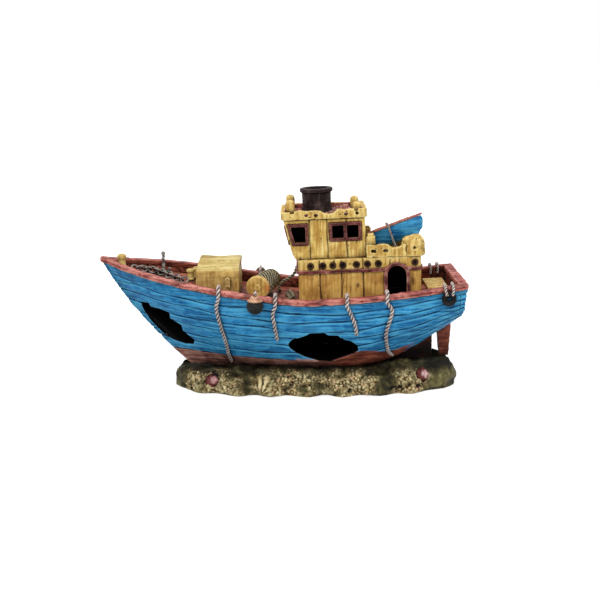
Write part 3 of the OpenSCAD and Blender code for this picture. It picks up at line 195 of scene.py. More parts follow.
def worn_paint_group():
    """Hand-brushed paint: mottled colour, brush streaks, dry-brushed ridges, a dark wash in hollows, and
    painted shade in crowded corners and wherever a piece marks it.
    """
    tree = bpy.data.node_groups.new("worn paint", "ShaderNodeTree")
    face = tree.interface
    for name, kind in (("Base", "Color"), ("Shade", "Color"), ("Light", "Color"), ("Wash And Shade", "Color"),
                       ("Streaks", "Vector"), ("Streak Depth", "Float"), ("Mottle", "Float"),
                       ("Dry Brush", "Float"), ("Corner Shade", "Float"), ("Specks", "Float")):
        face.new_socket(name=name, in_out="INPUT", socket_type="NodeSocket" + kind)
    for name, kind in (("Color", "Color"), ("Roughness", "Float"), ("Height", "Float")):
        face.new_socket(name=name, in_out="OUTPUT", socket_type="NodeSocket" + kind)
    given = put(tree, "NodeGroupInput").outputs
    place = put(tree, "ShaderNodeTexCoord").outputs["Object"]
    broad = put(tree, "ShaderNodeTexNoise", {"Vector": place, "Scale": 120.0, "Detail": 5.0,
                "Roughness": 0.6}).outputs["Fac"]
    run = put(tree, "ShaderNodeVectorMath", {0: place, 1: given["Streaks"]}, operation="MULTIPLY")
    stroke = put(tree, "ShaderNodeTexNoise", {"Vector": run.outputs[0], "Scale": 1.0, "Detail": 4.0,
                 "Roughness": 0.62}).outputs["Fac"]
    fine = put(tree, "ShaderNodeTexNoise", {"Vector": place, "Scale": 1500.0, "Detail": 2.0}).outputs["Fac"]
    spot = put(tree, "ShaderNodeTexNoise", {"Vector": place, "Scale": 520.0, "Detail": 2.0}).outputs["Fac"]
    patch = calc(tree, "MULTIPLY", spread(tree, broad, 0.47, 0.62), given["Mottle"])
    colour = blend(tree, patch, given["Base"], given["Shade"])
    bright = calc(tree, "MULTIPLY", given["Mottle"], 0.55)
    bright = calc(tree, "MULTIPLY", spread(tree, broad, 0.5, 0.34), bright)
    colour = blend(tree, bright, colour, given["Light"])
    lines = calc(tree, "MULTIPLY", spread(tree, stroke, 0.5, 0.63), given["Streak Depth"])
    colour = blend(tree, lines, colour, given["Shade"])
    ridge = calc(tree, "MULTIPLY", mark(tree, "ridge"), spread(tree, fine, 0.3, 0.6, 0.35, 1.0))
    pale = calc(tree, "MULTIPLY", spread(tree, stroke, 0.47, 0.33), 0.7)
    dry = calc(tree, "MULTIPLY", calc(tree, "MAXIMUM", ridge, pale), given["Dry Brush"], clamp=True)
    colour = blend(tree, dry, colour, given["Light"])
    pits = calc(tree, "MULTIPLY", spread(tree, spot, 0.62, 0.7), given["Specks"])
    # Darkening that each piece marks: real wear on some pieces, painted shade on others
    age_and_shade = calc(tree, "MULTIPLY", mark(tree, "age_and_shade"), spread(tree, broad, 0.25, 0.6, 0.55, 1.0))
    # Painted shade where other surfaces crowd the point
    shade_in_corners = calc(tree, "MULTIPLY", mark(tree, "corner_shade"), given["Corner Shade"])
    shade_in_corners = calc(tree, "MULTIPLY", shade_in_corners, spread(tree, broad, 0.25, 0.6, 0.7, 1.25))
    wash_and_shade = calc(tree, "MAXIMUM", calc(tree, "ADD", shade_in_corners, mark(tree, "crevice"), clamp=True),
                calc(tree, "MAXIMUM", pits, age_and_shade))
    # The dark colour lays both the wash and the painted shade
    colour = blend(tree, wash_and_shade, colour, given["Wash And Shade"])
    dull = calc(tree, "ADD", spread(tree, fine, 0.3, 0.7, 0.42, 0.6), calc(tree, "MULTIPLY", wash_and_shade, 0.2))
    height = calc(tree, "ADD", calc(tree, "MULTIPLY", stroke, given["Streak Depth"]),
                  calc(tree, "MULTIPLY", fine, 0.35))
    put(tree, "NodeGroupOutput", {"Color": colour, "Roughness": dull, "Height": height})
    return tree


WORN_PAINT = worn_paint_group()
ALONG = (45.0, 160.0, 760.0)      # streaks that run fore and aft
UPRIGHT = (620.0, 620.0, 55.0)    # streaks that run up and down
ROUND = (240.0, 240.0, 240.0)     # no direction


def palette(base, shade, light, wash_and_shade, streaks=ROUND, depth=0.5, mottle=0.5, dry=0.6, corner_shade=0.6, specks=0.3):
    """The colours of one coat of paint, how it is brushed on, and how much painted shade it takes in crowded
    corners.
    """
    return {"Base": paint(*base), "Shade": paint(*shade), "Light": paint(*light), "Wash And Shade": paint(*wash_and_shade),
            "Streaks": streaks, "Streak Depth": depth, "Mottle": mottle, "Dry Brush": dry, "Corner Shade": corner_shade,
            "Specks": specks}


def brushed(tree, colours):
    """One coat of the worn paint in a material."""
    made = put(tree, "ShaderNodeGroup", node_tree=WORN_PAINT)
    for name, value in colours.items():
        made.inputs[name].default_value = value
    return made


def layered(name, first, *coats, relief=0.5):
    """A material of one coat, with further coats where a mark says: plain colours or brushed ones."""
    material = bpy.data.materials.new(name)
    material.use_nodes = True
    tree = material.node_tree
    tree.nodes.clear()
    shader = put(tree, "ShaderNodeBsdfPrincipled", {"Specular IOR Level": 0.1})
    put(tree, "ShaderNodeOutputMaterial", {"Surface": shader.outputs[0]})
    ground = brushed(tree, first).outputs
    colour = ground["Color"]
    for where, coat in coats:
        over = coat if isinstance(coat, tuple) else brushed(tree, coat).outputs["Color"]
        colour = blend(tree, mark(tree, where), colour, over)
    tree.links.new(colour, shader.inputs["Base Color"])
    tree.links.new(ground["Roughness"], shader.inputs["Roughness"])
    bump = put(tree, "ShaderNodeBump", {"Height": ground["Height"], "Strength": relief, "Distance": 0.0004})
    tree.links.new(bump.outputs[0], shader.inputs["Normal"])
    return material


BLUE = palette((42, 134, 191), (16, 80, 138), (98, 192, 232), (5, 24, 52), ALONG, 0.6, 0.7, 0.9, 0.6)
BOTTOM = palette((138, 90, 80), (88, 54, 47), (190, 144, 130), (24, 13, 11), ALONG, 0.7, 0.9, 0.8, 0.7)
RUST = palette((128, 64, 50), (80, 37, 29), (178, 106, 82), (22, 10, 8), ALONG, 0.7, 0.9, 0.8, 0.7)
RED = palette((166, 82, 78), (106, 45, 45), (234, 166, 148), (40, 14, 14), ALONG, 0.6, 0.8, 1.0, 0.7, 0.7)
INNER_RED = palette((116, 54, 41), (72, 31, 25), (164, 94, 72), (20, 8, 7), ALONG, 0.7, 0.8, 0.7, 0.9, 0.6)
DECK = palette((156, 82, 62), (96, 46, 36), (208, 138, 108), (18, 9, 8), ALONG, 0.8, 0.8, 0.8, 0.8)
YELLOW = palette((216, 182, 98), (170, 126, 58), (246, 226, 156), (58, 35, 16), UPRIGHT, 0.8, 0.7, 0.9, 0.75)
OCHRE = palette((202, 156, 80), (154, 108, 52), (226, 186, 108), (54, 30, 14), UPRIGHT, 0.7, 0.7, 0.7, 0.9)
CREAM = palette((206, 182, 112), (160, 128, 64), (240, 226, 164), (66, 42, 20), ALONG, 0.9, 0.5, 0.8, 0.8)
TAN = palette((186, 152, 90), (126, 90, 48), (228, 204, 144), (48, 28, 16))
ROCK = palette((58, 53, 31), (30, 27, 17), (122, 112, 68), (9, 8, 6), ROUND, 0.6, 0.8, 0.5, 1.0)
PALE_ROCK = palette((124, 116, 76), (84, 76, 44), (176, 168, 120), (24, 22, 13))
SAND = palette((222, 194, 130), (170, 134, 76), (248, 236, 190), (30, 25, 14), ROUND, 0.6, 0.8, 0.9, 0.5)
SHELL = palette((104, 48, 46), (66, 27, 28), (172, 104, 98), (28, 11, 11), dry=0.4)
SHELL_TIP = palette((228, 172, 168), (196, 122, 120), (246, 222, 218), (88, 30, 34))
IRON = palette((48, 42, 40), (26, 22, 22), (226, 220, 210), (9, 8, 8), dry=0.7, corner_shade=0.9)
DARK_ROPE = palette((88, 80, 58), (48, 42, 30), (206, 196, 164), (8, 7, 5), dry=1.0, corner_shade=0.8)
PALE_ROPE = palette((190, 168, 160), (138, 118, 116), (244, 232, 224), (30, 24, 30), dry=1.0, corner_shade=0.5)
FENDER = palette((22, 24, 24), (14, 15, 15), (84, 82, 78), (6, 5, 5), dry=0.35, corner_shade=0.8)
FENDER_CAP = palette((212, 160, 124), (160, 104, 78), (240, 206, 176), (70, 36, 24))
FUNNEL = palette((27, 17, 15), (17, 11, 10), (118, 96, 92), (7, 4, 4), UPRIGHT, 0.5, 0.6, 0.3, 0.7)
FUNNEL_RIM = palette((52, 30, 21), (30, 16, 12), (120, 84, 60), (8, 5, 4), dry=0.4)
PLASTIC = palette((224, 226, 224), (206, 208, 206), (240, 240, 240), (120, 120, 118), corner_shade=0.3, specks=0.0)
AIR_STONE = palette((150, 156, 162), (110, 116, 122), (196, 200, 204), (50, 52, 54))
# Black for painted shade inside the hull, near-black for painted shade in the rooms, and pale plaster
INSIDE_SHADE_BLACK, ROOM_SHADE_BLACK, PLASTER = paint(7, 6, 6), paint(18, 12, 8), paint(206, 168, 148)
# Pale wood, dark seams, and a pale blue for painted highlights and worn paint
PALE_WOOD, DARK_SEAM, HIGHLIGHT_AND_WEAR_BLUE = paint(216, 164, 150), paint(6, 34, 70), paint(88, 180, 218)
BOARD_JOINT, WINCH_HUB, PORT_DARK = paint(58, 36, 18), paint(190, 112, 54), paint(20, 11, 8)
# Rosy gravel, near-black painted shade on the rock, and brown painted shade at the hatch's foot
ROSY, ROCK_SHADE_DARK, HATCH_FOOT_SHADE = paint(176, 112, 92), paint(14, 12, 8), paint(74, 48, 24)
# The hatch's sides, darker as painted shade
HATCH_SIDE_SHADE = OCHRE | {"Base": paint(190, 160, 96)}

# Some coats are painted light: the hull's pale blue is partly a painted highlight, and the black, dark rock
# and hatch coats are painted shade
PAINTS = {
    "hull_blue": layered("hull blue", BLUE, ("edge", HIGHLIGHT_AND_WEAR_BLUE), ("seam", DARK_SEAM), ("bottom", BOTTOM),
                         ("rust", RUST), ("inside", INNER_RED), ("splinter", PALE_WOOD), ("shade_black", INSIDE_SHADE_BLACK),
                         relief=0.6),
    "bottom_red": layered("bottom red", BOTTOM, ("rust", RUST), ("blue", BLUE), ("splinter", PALE_WOOD),
                          ("shade_black", INSIDE_SHADE_BLACK)),
    "rock": layered("rock", ROCK, ("pale", PALE_ROCK), ("growth", SAND), ("rosy", ROSY),
                    ("hollow", ROCK_SHADE_DARK), relief=0.9),
    "shell_pink": layered("shell pink", SHELL, ("apex", SHELL_TIP)),
    "rail_red": layered("rail red", RED, ("inside", INNER_RED), ("plaster", PLASTER)),
    "deck_brown": layered("deck brown", DECK, ("shade_black", INSIDE_SHADE_BLACK)),
    "house_yellow": layered("house yellow", YELLOW, ("ochre", OCHRE), ("seam", BOARD_JOINT),
                            ("hub", WINCH_HUB), ("lining", RED), ("port", PORT_DARK), ("shade_black", ROOM_SHADE_BLACK)),
    "hatch_cream": layered("hatch cream", CREAM, ("front", HATCH_SIDE_SHADE), ("foot", HATCH_FOOT_SHADE)),
    "fitting_tan": layered("fitting tan", TAN),
    "iron_grey": layered("iron grey", IRON),
    "dark_rope": layered("dark rope", DARK_ROPE),
    "pale_rope": layered("pale rope", PALE_ROPE),
    "fender_dark": layered("fender dark", FENDER, ("cap", FENDER_CAP)),
    "funnel_brown": layered("funnel brown", FUNNEL, ("rim", FUNNEL_RIM)),
    "air_plastic": layered("air plastic", PLASTIC, relief=0.05),
    "air_stone_grey": layered("air stone grey", AIR_STONE),
}


# Casting: a node's form, remeshed and softened, then carved and weathered

SEED_STEP = 13.7     # how far apart the noise of one seed lies from that of the next


def field(points, sizes, seed):
    """Smooth noise from -1 to 1 at points in millimetres, with lumps of the given sizes."""
    spots = (points / np.array(sizes) + SEED_STEP * seed).tolist()
    return np.array([noise.noise(spot) for spot in spots])


def pebbles(points, size, seed):
    """Rise of packed pebbles, from 0 in the gaps to 1 on top, and a tone for each pebble from 0 to 1."""
    rise, tone = [], []
    for spot in (points / size + SEED_STEP * seed).tolist():
        far, middles = noise.voronoi(spot)
        rise.append(far[1] - far[0])
        tone.append(0.5 + 0.5 * noise.cell(middles[0] * 7))
    return np.clip(1.5 * np.array(rise), 0, 1) ** 0.6, np.array(tone)


def vectors(mesh, what):
    """The place or the normal of each point of a mesh, one to a row."""
    flat = np.empty(3 * len(mesh.vertices), np.float32)
    mesh.vertices.foreach_get(what, flat)
    return flat.reshape(-1, 3).astype(float)


def note(mesh, name, values):
    """Keeps one value for each point of a mesh, as a mark for its paint."""
    attribute = mesh.attributes.new(name, "FLOAT", "POINT")
    attribute.data.foreach_set("value", np.asarray(values, np.float32))


def neighbours(mesh):
    """The two ends of every edge, taken both ways round."""
    pairs = np.empty(2 * len(mesh.edges), np.int32)
    mesh.edges.foreach_get("vertices", pairs)
    pairs = pairs.reshape(-1, 2)
    return np.concatenate([pairs[:, 0], pairs[:, 1]]), np.concatenate([pairs[:, 1], pairs[:, 0]])


def spread_out(values, near, far, rounds):
    """Values evened out between each point and its neighbours."""
    count = np.maximum(np.bincount(near, minlength=len(values)), 1)
    for _ in range(rounds):
        values = (values + np.bincount(near, values[far], len(values)) / count) / 2
    return values


def solids_tree():
    """All the solids except the air line, to feel how near they are."""
    corners, faces = [], []
    for name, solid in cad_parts.items():
        if name.startswith("air_"):
            continue
        solid.data.calc_loop_triangles()
        start = len(corners)
        corners += [v.co for v in solid.data.vertices]
        faces += [tuple(start + i for i in t.vertices) for t in solid.data.loop_triangles]
    return BVHTree.FromPolygons(corners, faces)


SOLIDS = solids_tree()
# One feeler stands straight out of a surface, and six lean round it
FEELERS = [(0.0, 0.0, 1.0)]
FEELERS += [(0.8 * math.cos(a), 0.8 * math.sin(a), 0.6) for a in np.arange(6) * math.pi / 3]
FEELER_START, FEELER_REACH = 0.9 * MM, 9 * MM


def closeness(points, normals):
    """How far other surfaces crowd each point, from 0 in the open to 1 in a corner."""
    across = np.cross(normals, np.where(np.abs(normals[:, :1]) < 0.8, [[1.0, 0, 0]], [[0, 1.0, 0]]))
    across /= np.maximum(np.linalg.norm(across, axis=1, keepdims=True), 1e-9)
    beside = np.cross(normals, across)
    starts = (points + normals * FEELER_START).tolist()
    crowd = np.zeros(len(points))
    for a, b, c in FEELERS:
        ways = (a * across + b * beside + c * normals).tolist()
        for i, (start, way) in enumerate(zip(starts, ways)):
            hit = SOLIDS.ray_cast(start, way, FEELER_REACH)[3]
            if hit is not None:
                crowd[i] += 1 - hit / FEELER_REACH
    return crowd / len(FEELERS)


def weather(piece, gain=1.0):
    """Marks the ridges and the crevices of a piece for its paint, and its crowded places for painted shade.
    """
    mesh = piece.data
    points, normals = vectors(mesh, "co"), vectors(mesh, "normal")
    near, far = neighbours(mesh)
    count = np.maximum(np.bincount(near, minlength=len(points)), 1)
    middle = np.stack([np.bincount(near, points[far, k], len(points)) / count for k in range(3)], 1)
    step = np.bincount(near, np.linalg.norm(points[far] - points[near], axis=1), len(points)) / count
    bend = np.einsum("ij,ij->i", middle - points, normals) / np.maximum(step, 1e-7)
    bend = 8 * gain * spread_out(bend, near, far, 2)
    note(mesh, "crevice", np.clip(bend - 0.1, 0, 0.9))
    note(mesh, "ridge", np.clip(-bend - 0.1, 0, 1))
    # Crowded places are darkened as painted shade
    crowd = closeness(points, normals)
    note(mesh, "corner_shade", np.clip(spread_out(crowd, near, far, 3) * 1.9 - 0.14, 0, 1))


def add_object(name, data):
    """A new object in the scene."""
    made = bpy.data.objects.new(name, data)
    scene.collection.objects.link(made)
    return made


def shaped_mesh(made):
    """The mesh that an object's modifiers or its curve come to."""
    return bpy.data.meshes.new_from_object(made.evaluated_get(bpy.context.evaluated_depsgraph_get()))


def dress(piece, slot, node):
    """Paints a finished piece and puts it in the place of its node."""
    piece.data.materials.clear()
    piece.data.materials.append(PAINTS[slot])
    piece.data.shade_smooth()
    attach(piece, "root")
    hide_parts(node)


def cast(node, slot, grain, soften, carve, gain=1.0, age_and_shade=0.0):
    """A softened copy of a node's form, carved by a function that returns moved points and paint marks."""
    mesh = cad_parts[node].data.copy()
    form = bmesh.new()
    form.from_mesh(mesh)
    bmesh.ops.remove_doubles(form, verts=form.verts, dist=1e-6)
    form.to_mesh(mesh)
    form.free()
    piece = add_object(node + "_cast", mesh)
    skin = piece.modifiers.new("skin", "REMESH")
    skin.mode = "VOXEL"
    skin.voxel_size = grain * MM
    ease = piece.modifiers.new("ease", "SMOOTH")
    ease.factor = 0.5
    ease.iterations = soften
    shaped = shaped_mesh(piece)
    piece.modifiers.clear()
    piece.data = shaped
    points, normals = vectors(shaped, "co") / MM, vectors(shaped, "normal")
    moved, marks = carve(points, normals)
    shaped.vertices.foreach_set("co", (moved * MM).astype(np.float32).ravel())
    shaped.update()
    for name, values in ({"age_and_shade": np.full(len(points), age_and_shade)} | marks).items():
        note(shaped, name, values)
    weather(piece, gain)
    dress(piece, slot, node)


def shift(points, normals, depth):
    """Points moved out along their normals."""
    return points + normals * np.asarray(depth)[:, None]


def step_up(value, start, end):
    """A ramp from 0 at the start to 1 at the end."""
    return np.clip((value - start) / (end - start), 0, 1)


# Carving of each kind of surface

def long_grain(points, normals):
    """Rough wood with its grain fore and aft."""
    depth = 0.26 * field(points, (16, 16, 2.2), 5) + 0.18 * field(points, (5, 4, 1.2), 6)
    return shift(points, normals, depth)


def fine_grain(points, normals):
    """The slight unevenness of a small casting."""
    return shift(points, normals, 0.14 * field(points, (2.2, 2.2, 2.2), 12))


def strake_seams(s, v, height):
    """Distance to the nearest seam between strakes, and a painted highlight on the lip under each seam."""
    gap, seam_highlight = np.full(len(s), np.inf), np.zeros(len(s))
    for k in range(1, STRAKES):
        line = BOTTOM_SHARE + (1 - BOTTOM_SHARE) * k / STRAKES
        wander = np.sin(math.tau * (2.2 * s + 3.7 * line))
        wander += 0.45 * np.sin(math.tau * (5.7 * s + 9.1 * line))
        over = (v - line - 0.014 * wander) * height
        gap = np.minimum(gap, np.abs(over))
        seam_highlight = np.maximum(seam_highlight, np.exp(-((over + 1.1) / 0.5) ** 2))
    return gap, seam_highlight


def carve_planking(points, normals):
    """Wandering seams between the strakes, splits along the grain and chunky tool marks, with painted
    highlights under the seams, a painted shadow under the rail and painted shade inside below the deck.
    """
    x, y, z = points.T
    s, v, height = hull_place(points)
    side = np.sign(y)
    outward = normals[:, 1] * side
    ends = step_up(x, STERN_X - 12, STERN_X - 10) - step_up(s, 0.03, 0.02)
    outer = np.clip((outward + normals[:, 0] * ends) * 2 + 0.3, 0, 1)
    gap, seam_highlight = strake_seams(s, v, height)
    width = 0.4 + 0.22 * field(points, (22, 22, 9), 4)
    broken = np.clip(0.75 + 1.1 * field(points, (13, 13, 5), 21), 0.15, 1)
    seam = np.exp(-(gap / np.maximum(width, 0.18)) ** 2) * broken
    split = step_up(field(points, (19, 30, 1.0), 3), 0.42, 0.6)
    chunk = 0.34 * field(points, (24, 40, 3.6), 1) + 0.24 * field(points, (8, 20, 1.8), 2)
    depth = outer * (chunk - 0.7 * seam - 0.35 * split)
    # The lip under each seam is a painted highlight, broken up by noise
    seam_highlight *= np.clip(0.45 + field(points, (10, 10, 4), 23), 0, 0.75)
    bright = step_up(field(points, (36, 36, 3.4), 36), 0.02, 0.5) * step_up(v, 0.97, 0.85)
    # Painted shadow in a band under the rail, with darker patches at random and a darker stem end
    dark = np.maximum(step_up(v, 0.86, 0.98), step_up(field(points, (28, 28, 2.6), 37), 0.2, 0.55))
    dark = np.maximum(dark, 1.6 * step_up(s, 0.035, 0.005))
    tide = BOTTOM_SHARE + 0.012 * field(points, (9, 9, 9), 22)
    tide += 0.15 * np.exp(-((x - BOTTOM_PATCH_X) / 15) ** 2)
    bottom = outer * np.clip((tide - v) * height / 0.9 + 0.4, 0, 1) * (1 - step_up(x, *BLUE_RAMP))
    torn = step_up(x, TEAR_FORE - 2, TEAR_FORE) * step_up(x, TEAR_AFT + 2, TEAR_AFT) * (y < 0)
    over_tear = (v - BOTTOM_SHARE) * height - 0.4 - 0.25 * np.sin(x)
    # Close to the transom only what faces inboard above the deck is inside
    below = deck_z(x) - z
    inboard = np.maximum(step_up(y * side, *INBOARD_RAMP), step_up(-outward, 0.4, 0.6))
    inner = (1 - outer) * np.where(x > STERN_X - 5, inboard * (below < 1), 1)
    return shift(points, normals, depth), {
        "seam": outer * np.clip(0.9 * seam + 0.5 * split, 0, 1),
        # A painted highlight under the seams, with pale patches of worn paint
        "edge": outer * np.maximum(seam_highlight, 0.5 * bright),
        "age_and_shade": 0.4 * outer * dark,
        "bottom": bottom,
        "rust": bottom * step_up(x, *RUST_RAMP),
        "splinter": outer * torn * np.exp(-(over_tear / 0.7) ** 2),
        "inside": inner,
        # Painted shade: the inside below the deck is painted black
        "shade_black": inner * step_up(below, 1.5, 3.5),
    }


def carve_keel(points, normals):
    """Rough grain, with the after end in the blue of the hull, a pale split where the side is torn, and the
    floor inside the hull painted black as painted shade.
    """
    x, y, z = points.T
    torn = step_up(x, TEAR_FORE, TEAR_FORE + 1) * step_up(x, TEAR_AFT + 1.5, TEAR_AFT + 0.5)
    torn *= step_up(z, TEAR_Z - 0.8, TEAR_Z) * (y < TEAR_Y)
    split = torn * np.exp(-((z - TEAR_Z - 0.3 * np.sin(x)) / 0.6) ** 2)
    shade_black = step_up(normals[:, 2], -0.05, 0.2) * (z > HOLD_FLOOR) * (np.abs(x) < HOLD_HALF)
    return long_grain(points, normals), {
        "blue": step_up(x, *BLUE_RAMP),
        "rust": step_up(x, *RUST_RAMP),
        "splinter": split,
        "shade_black": shade_black * (1 - split),
    }


def carve_skeg(points, normals):
    """Rusty wood with painted shade, blacker towards the foot."""
    low = step_up(points[:, 2], 32, 22)
    marks = {"rust": np.ones(len(points)), "age_and_shade": 0.6 + 0.4 * low, "shade_black": 0.3 + 0.5 * low}
    return long_grain(points, normals), marks


def carve_post(points, normals):
    """Rusty wood, with painted shade only where it meets the rock."""
    marks = {"rust": np.ones(len(points)), "age_and_shade": 0.85 * step_up(points[:, 2], 27, 19)}
    return long_grain(points, normals), marks


def carve_rail(points, normals):
    """Worn rail: knocked edges and long dents."""
    dent = step_up(field(points, (7, 5, 4), 24), 0.25, 0.6)
    depth = 0.3 * field(points, (14, 9, 3), 5) + 0.18 * field(points, (4, 4, 1.4), 6) - 0.45 * dent
    spots = np.maximum(field(points, (11, 9, 3), 25), field(points, (4, 4, 1.6), 38))
    inward = -normals[:, 1] * np.sign(points[:, 1]) * (np.abs(points[:, 1]) > 6)
    return shift(points, normals, depth), {"age_and_shade": 0.6 * step_up(spots, 0.25, 0.55),
                                           "inside": step_up(inward, 0.4, 0.8)}


def carve_deck(points, normals):
    """Grained planks, painted black underneath and inside the deckhouse as painted shade."""
    aft, _ = house_place(points)
    housed = (np.abs(points[:, 1]) < HOUSE_HALF - 1) & (aft > 0) & (aft < HOUSE_LENGTH)
    return long_grain(points, normals), {"shade_black": np.maximum(housed, step_up(normals[:, 2], 0.1, -0.1))}


def board_relief(points, normals, aft, seams):
    """Upright boards: grain, a few knots and long splits, and a dark joint at each seam."""
    wall = step_up(np.abs(normals[:, 1]), 0.3, 0.7)
    joint = np.zeros(len(points))
    waver = 0.35 * field(points, (9, 9, 9), 26)
    for seam in seams:
        joint = np.maximum(joint, np.exp(-((aft - seam + waver) / 0.42) ** 2))
    split = step_up(field(points, (1.4, 1.4, 13), 7), 0.5, 0.66)
    knot = step_up(field(points, (2.6, 2.6, 4.5), 27), 0.56, 0.7)
    depth = 0.24 * field(points, (4, 4, 14), 8) + 0.14 * field(points, (1.6, 1.6, 5), 9)
    depth -= 0.5 * wall * joint + 0.35 * split + 0.35 * knot
    return depth, np.clip(wall * joint * 0.85 + 0.6 * split + 0.55 * knot, 0, 0.95)


def carve_deckhouse(points, normals):
    """Boarded walls, ochre towards the foot, round a room painted black as painted shade, with doorways
    painted dark as painted shade and dark portholes.
    """
    aft, up = house_place(points)
    depth, seam = board_relief(points, normals, aft, BOARD_SEAMS)
    near = np.abs(points[:, 1])
    room = (near < HOUSE_HALF - ROOM_INSET) & (up < HOUSE_TOP - ROOM_INSET)
    room &= (aft > ROOM_INSET) & (aft < HOUSE_LENGTH - ROOM_INSET)
    doorway = (aft > DOOR_FORE) & (aft < DOOR_AFT) & (up < DOOR_TOP)
    # The blind doorway recess is painted dark as painted shade, like the open one
    room |= doorway & (near < HOUSE_HALF - 0.5) & (near > HOUSE_HALF - ROOM_INSET)
    port = np.zeros(len(points))
    for place in PORTHOLES:
        port = np.maximum(port, np.hypot(aft - place, up - PORTHOLE_Z) < PORTHOLE_R - 0.15)
    port *= (near > HOUSE_HALF - 2) & (near < HOUSE_HALF - 0.2)
    ochre = 0.2 + 0.75 * step_up(up + 1.5 * field(points, (5, 5, 5), 39), 22.5, 18)
    moved = shift(points, normals, depth * (1 - room) * (1 - port))
    return moved, {"seam": seam, "shade_black": room, "port": port, "ochre": ochre}


def carve_wheelhouse(points, normals):
    """Boarded walls round a room painted black as painted shade, with the reveals and blind panes at the
    windows painted dark as painted shade.
    """
    aft, up = house_place(points)
    depth, seam = board_relief(points, normals, aft, WHEEL_SEAMS)
    near = np.abs(points[:, 1])
    front = WHEEL_FORE - WHEEL_LEAN * step_up(up, WHEEL_Z + 3, ROOF_Z)
    level = (up > WINDOW_FOOT) & (up < WINDOW_TOP)
    room = (near < WHEEL_HALF - ROOM_INSET) & (aft > front + ROOM_INSET) & (aft < WHEEL_AFT - ROOM_INSET)
    sides = (near < WHEEL_HALF - 0.4) & (np.abs(normals[:, 1]) < 0.6) & (aft > front + 0.6)
    ahead = (near < WHEEL_HALF - 0.6) & (np.abs(normals[:, 0]) < 0.6) & (aft > front + 0.5)
    reveal = (sides | ahead) & (aft < WHEEL_AFT - 1)
    pane = (near < WHEEL_HALF - 0.5) & (normals[:, 1] * points[:, 1] > 0) & (aft > front + 1) & ~room
    # Painted shade: the room, and the reveals and blind panes at window height
    dark = np.maximum(room, 0.92 * (level & (reveal | pane)))
    return shift(points, normals, depth * (1 - dark)), {"seam": seam, "shade_black": dark}


def carve_parapet(foot, height, lined):
    """A rough, worn wall top; a lined one is in the red of the roof on its inside."""
    def carve(points, normals):
        aft, up = house_place(points)
        depth = 0.34 * field(points, (5, 5, 4), 10) + 0.2 * field(points, (1.9, 1.9, 1.9), 11)
        depth -= 0.5 * step_up(field(points, (2.4, 2.4, 2.4), 28), 0.45, 0.65)
        moved = shift(points, normals, depth)
        moved[:, 2] += step_up(up, foot, foot + height) * 0.9 * field(points, (4.5, 4.5, 90), 29)
        inward = -(normals[:, 0] * (aft - ROOF_MIDDLE) / 25 + normals[:, 1] * points[:, 1] / WHEEL_HALF)
        return moved, {"lining": lined * step_up(inward, 0.2, 0.5)}
    return carve


def carve_lumps(points, normals):
    """Lumpy plaster."""
    depth = 0.34 * field(points, (5, 5, 4), 10) + 0.18 * field(points, (1.8, 1.8, 1.8), 11)
    return shift(points, normals, depth), {}


def carve_turret(points, normals):
    """Heavy lumps with dark pits."""
    pit = step_up(field(points, (3.2, 3.2, 3.2), 30), 0.35, 0.6)
    depth = 0.75 * field(points, (6, 6, 5), 31) + 0.3 * field(points, (2, 2, 2), 11) - 1.1 * pit
    return shift(points, normals, depth), {"seam": 0.8 * step_up(pit, 0.3, 1)}


def carve_rubble(points, normals):
    """Loose bits of plaster on the roof, and one heap."""
    upward = step_up(normals[:, 2], 0.5, 0.8)
    rise, tone = pebbles(points, 2.3, 32)
    bits = rise * (tone > 0.6) * upward
    heap = upward * np.exp(-((points[:, 0] - HEAP_X) / 4) ** 2 - ((points[:, 1] - HEAP_Y) / 3) ** 2)
    depth = 1.1 * bits + 2.4 * heap + 0.2 * field(points, (1.6, 1.6, 1.6), 33)
    plaster = 0.65 * np.maximum(bits * tone, heap * rise) * step_up(points[:, 0], 24, 30)
    return shift(points, normals, depth), {"plaster": plaster}


def carve_small(points, normals):
    """A small casting in one paint."""
    return fine_grain(points, normals), {}


def carve_porthole(points, normals):
    """Rims in the rusty brown of the funnel's rim."""
    return fine_grain(points, normals), {"rim": np.ones(len(points))}


def carve_rib(points, normals):
    """Ribs in the dark red of the bulwark's inside."""
    return fine_grain(points, normals), {"inside": np.ones(len(points)), "age_and_shade": np.full(len(points), 0.3)}


def carve_belt(points, normals):
    """Uneven mouldings, dark with age and pale where the paint is gone."""
    moved = fine_grain(points, normals)
    moved[:, 2] += 0.55 * field(points, (6, 6, 60), 34)
    worn = field(points, (4, 4, 3), 50)
    plaster = 0.5 * step_up(-worn, 0.25, 0.55)
    return moved, {"age_and_shade": 0.45 + 0.45 * step_up(worn, -0.1, 0.4), "plaster": plaster}


def carve_hatch(points, normals):
    """Swollen planks with long splits; the sides are darker as painted shade, most of all at the foot."""
    split = step_up(field(points, (14, 1.5, 9), 35), 0.42, 0.6)
    moved = shift(long_grain(points, normals), normals, 0.7 * field(points, (10, 10, 8), 47) - 0.5 * split)
    above = points[:, 2] - deck_z(points[:, 0])
    # Painted shade on the sides, deepest at the foot by the deck
    front = step_up(np.maximum(np.abs(normals[:, 1]), np.abs(normals[:, 0])), 0.5, 0.8)
    foot = step_up(above + field(points, (3, 3, 9), 40), 4.5, 0.5)
    return moved, {"front": front, "foot": 0.8 * front * foot}


def carve_cheeks(points, normals):
    """The near cheek of the winch is painted, with a rusty hub, and the far one is painted dark as painted
    shade.
    """
    near = points[:, 1] < 0
    across = np.hypot(points[:, 0] - WINCH_PLACE[0] - HUB_SHIFT, points[:, 2] - WINCH_PLACE[2])
    hub = 0.8 * near * step_up(across, 5.0, 1.5)
    return fine_grain(points, normals), {"age_and_shade": np.where(near, 0.0, 0.95), "hub": hub, "ochre": 0.35 * near}


